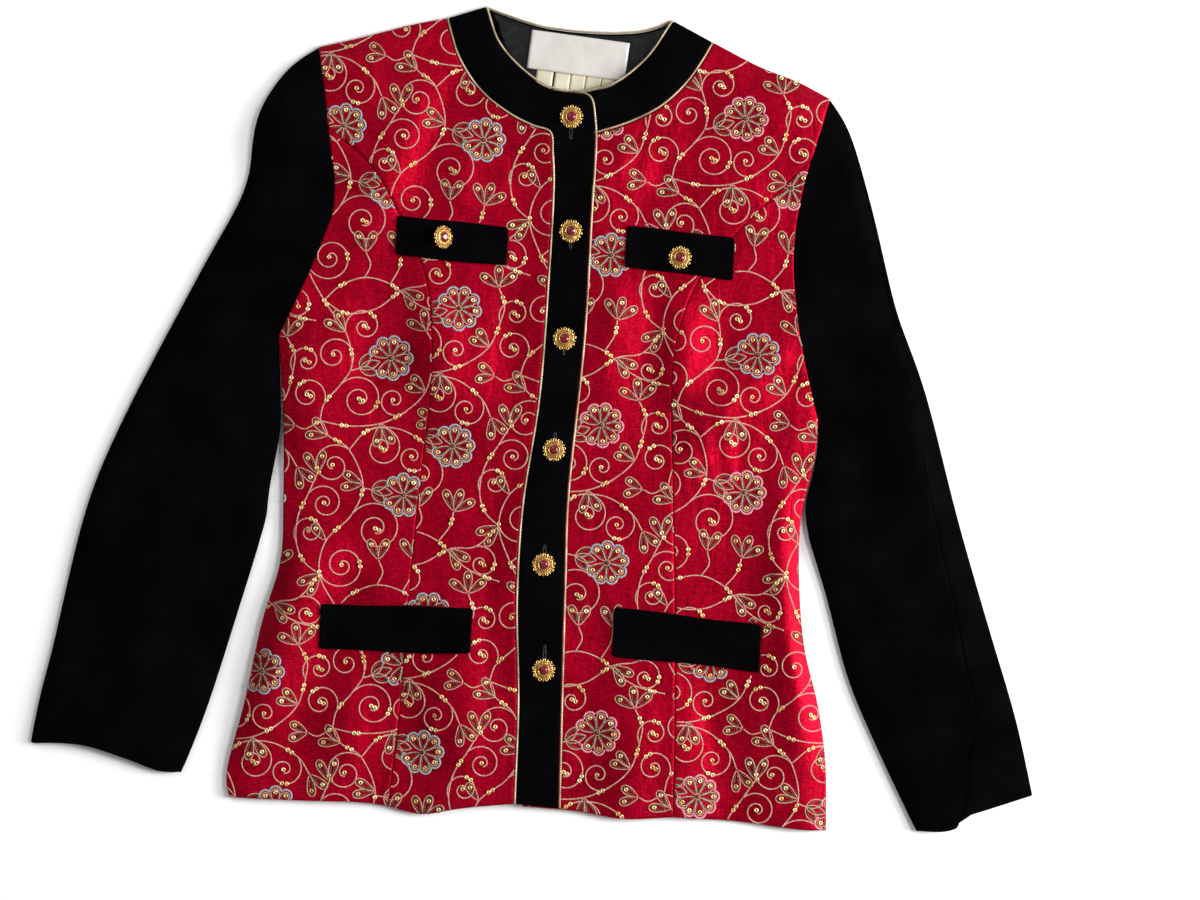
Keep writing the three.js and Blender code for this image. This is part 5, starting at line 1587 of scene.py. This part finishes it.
# %% Buttonholes
BUTTONHOLES = {
    # how far it reaches from the middle of the button, in millimetres, upwards or down
    "button_front_1": -19,
    "button_front_2": -15,
    "button_front_3": -14,
    "button_front_4": 15,
    "button_front_5": 17,
    "button_front_6": 21,
}
LIP = 1.1
LIP_READS = 49
TWIST_WIDTH, TWIST_HEIGHT = 0.0017, 0.0005
black_twist = thread_finish("buttonhole_twist_black", "050507", "1c1c22", 0.0008, 0.35)
hole_runs = []
for node, reach in BUTTONHOLES.items():
    middle = seat_of(node).translation / MM
    t = np.linspace(0, 2 * math.pi, LIP_READS)
    along = (reach - math.copysign(LIP, reach)) * (1 + np.cos(t)) / 2
    ring = np.column_stack([middle.x + LIP * np.sin(t), middle.y + along])
    hole_runs += laid_runs(ring, 0, 0, 0, "band_right")
thread_ridges("buttonholes", hole_runs, TWIST_WIDTH, TWIST_HEIGHT, black_twist)

# %% [markdown]
# ## Floor and light
# The jacket lies on a plain white floor. The photograph is lit from the right by a large soft
# source, with plenty of light from all round. Two area lamps stand for the lower and the upper
# part of a window, the first for the shade on the folds, the second for the shine on them. A
# weak one on the left opens the deepest shade, and the world lights the rest evenly.

# %% Floor and light
FLOOR_SIZE, FLOOR_BELOW = 6, 0.0002
ROOM_LIGHT = 0.26

bpy.ops.object.select_all(action="DESELECT")
bpy.ops.mesh.primitive_plane_add(size=FLOOR_SIZE, location=(0, 0, -FLOOR_BELOW))
floor = bpy.context.object
floor.name = "floor"
floor_paper, tree = new_material("floor_paper_white")
shader = add_node(tree, "ShaderNodeBsdfPrincipled", {"Base Color": linear("fdfdfd"), "Roughness": 0.9})
add_node(tree, "ShaderNodeOutputMaterial", {"Surface": (shader, "BSDF")})
floor.data.materials.append(floor_paper)
floor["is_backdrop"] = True

world = bpy.data.worlds.new("studio")
bpy.context.scene.world = world
world.use_nodes = True
background = world.node_tree.nodes["Background"]
background.inputs["Color"].default_value = (1, 1, 1, 1)
background.inputs["Strength"].default_value = ROOM_LIGHT


def area_light(name, place, size, power):
    """A soft lamp aimed at the middle of the jacket."""
    data = bpy.data.lights.new(name, "AREA")
    data.shape = "DISK"
    data.size = size
    data.energy = power
    lamp = bpy.data.objects.new(name, data)
    lamp.location = place
    lamp.rotation_euler = (-Vector(place)).to_track_quat("-Z", "Y").to_euler()
    bpy.context.scene.collection.objects.link(lamp)


# place and size in metres, power in watts
area_light("window", (3.15, 0.25, 1.35), 1.6, 160)
area_light("window_top", (1.5, 0.2, 1.9), 0.9, 32)
area_light("fill", (-1.0, 1.1, 1.6), 1.2, 10)
bpy.context.scene.view_settings.view_transform = "Standard"

# %% The end
low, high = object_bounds()
print("visual box", [round(v, 4) for v in (*low, *high)])
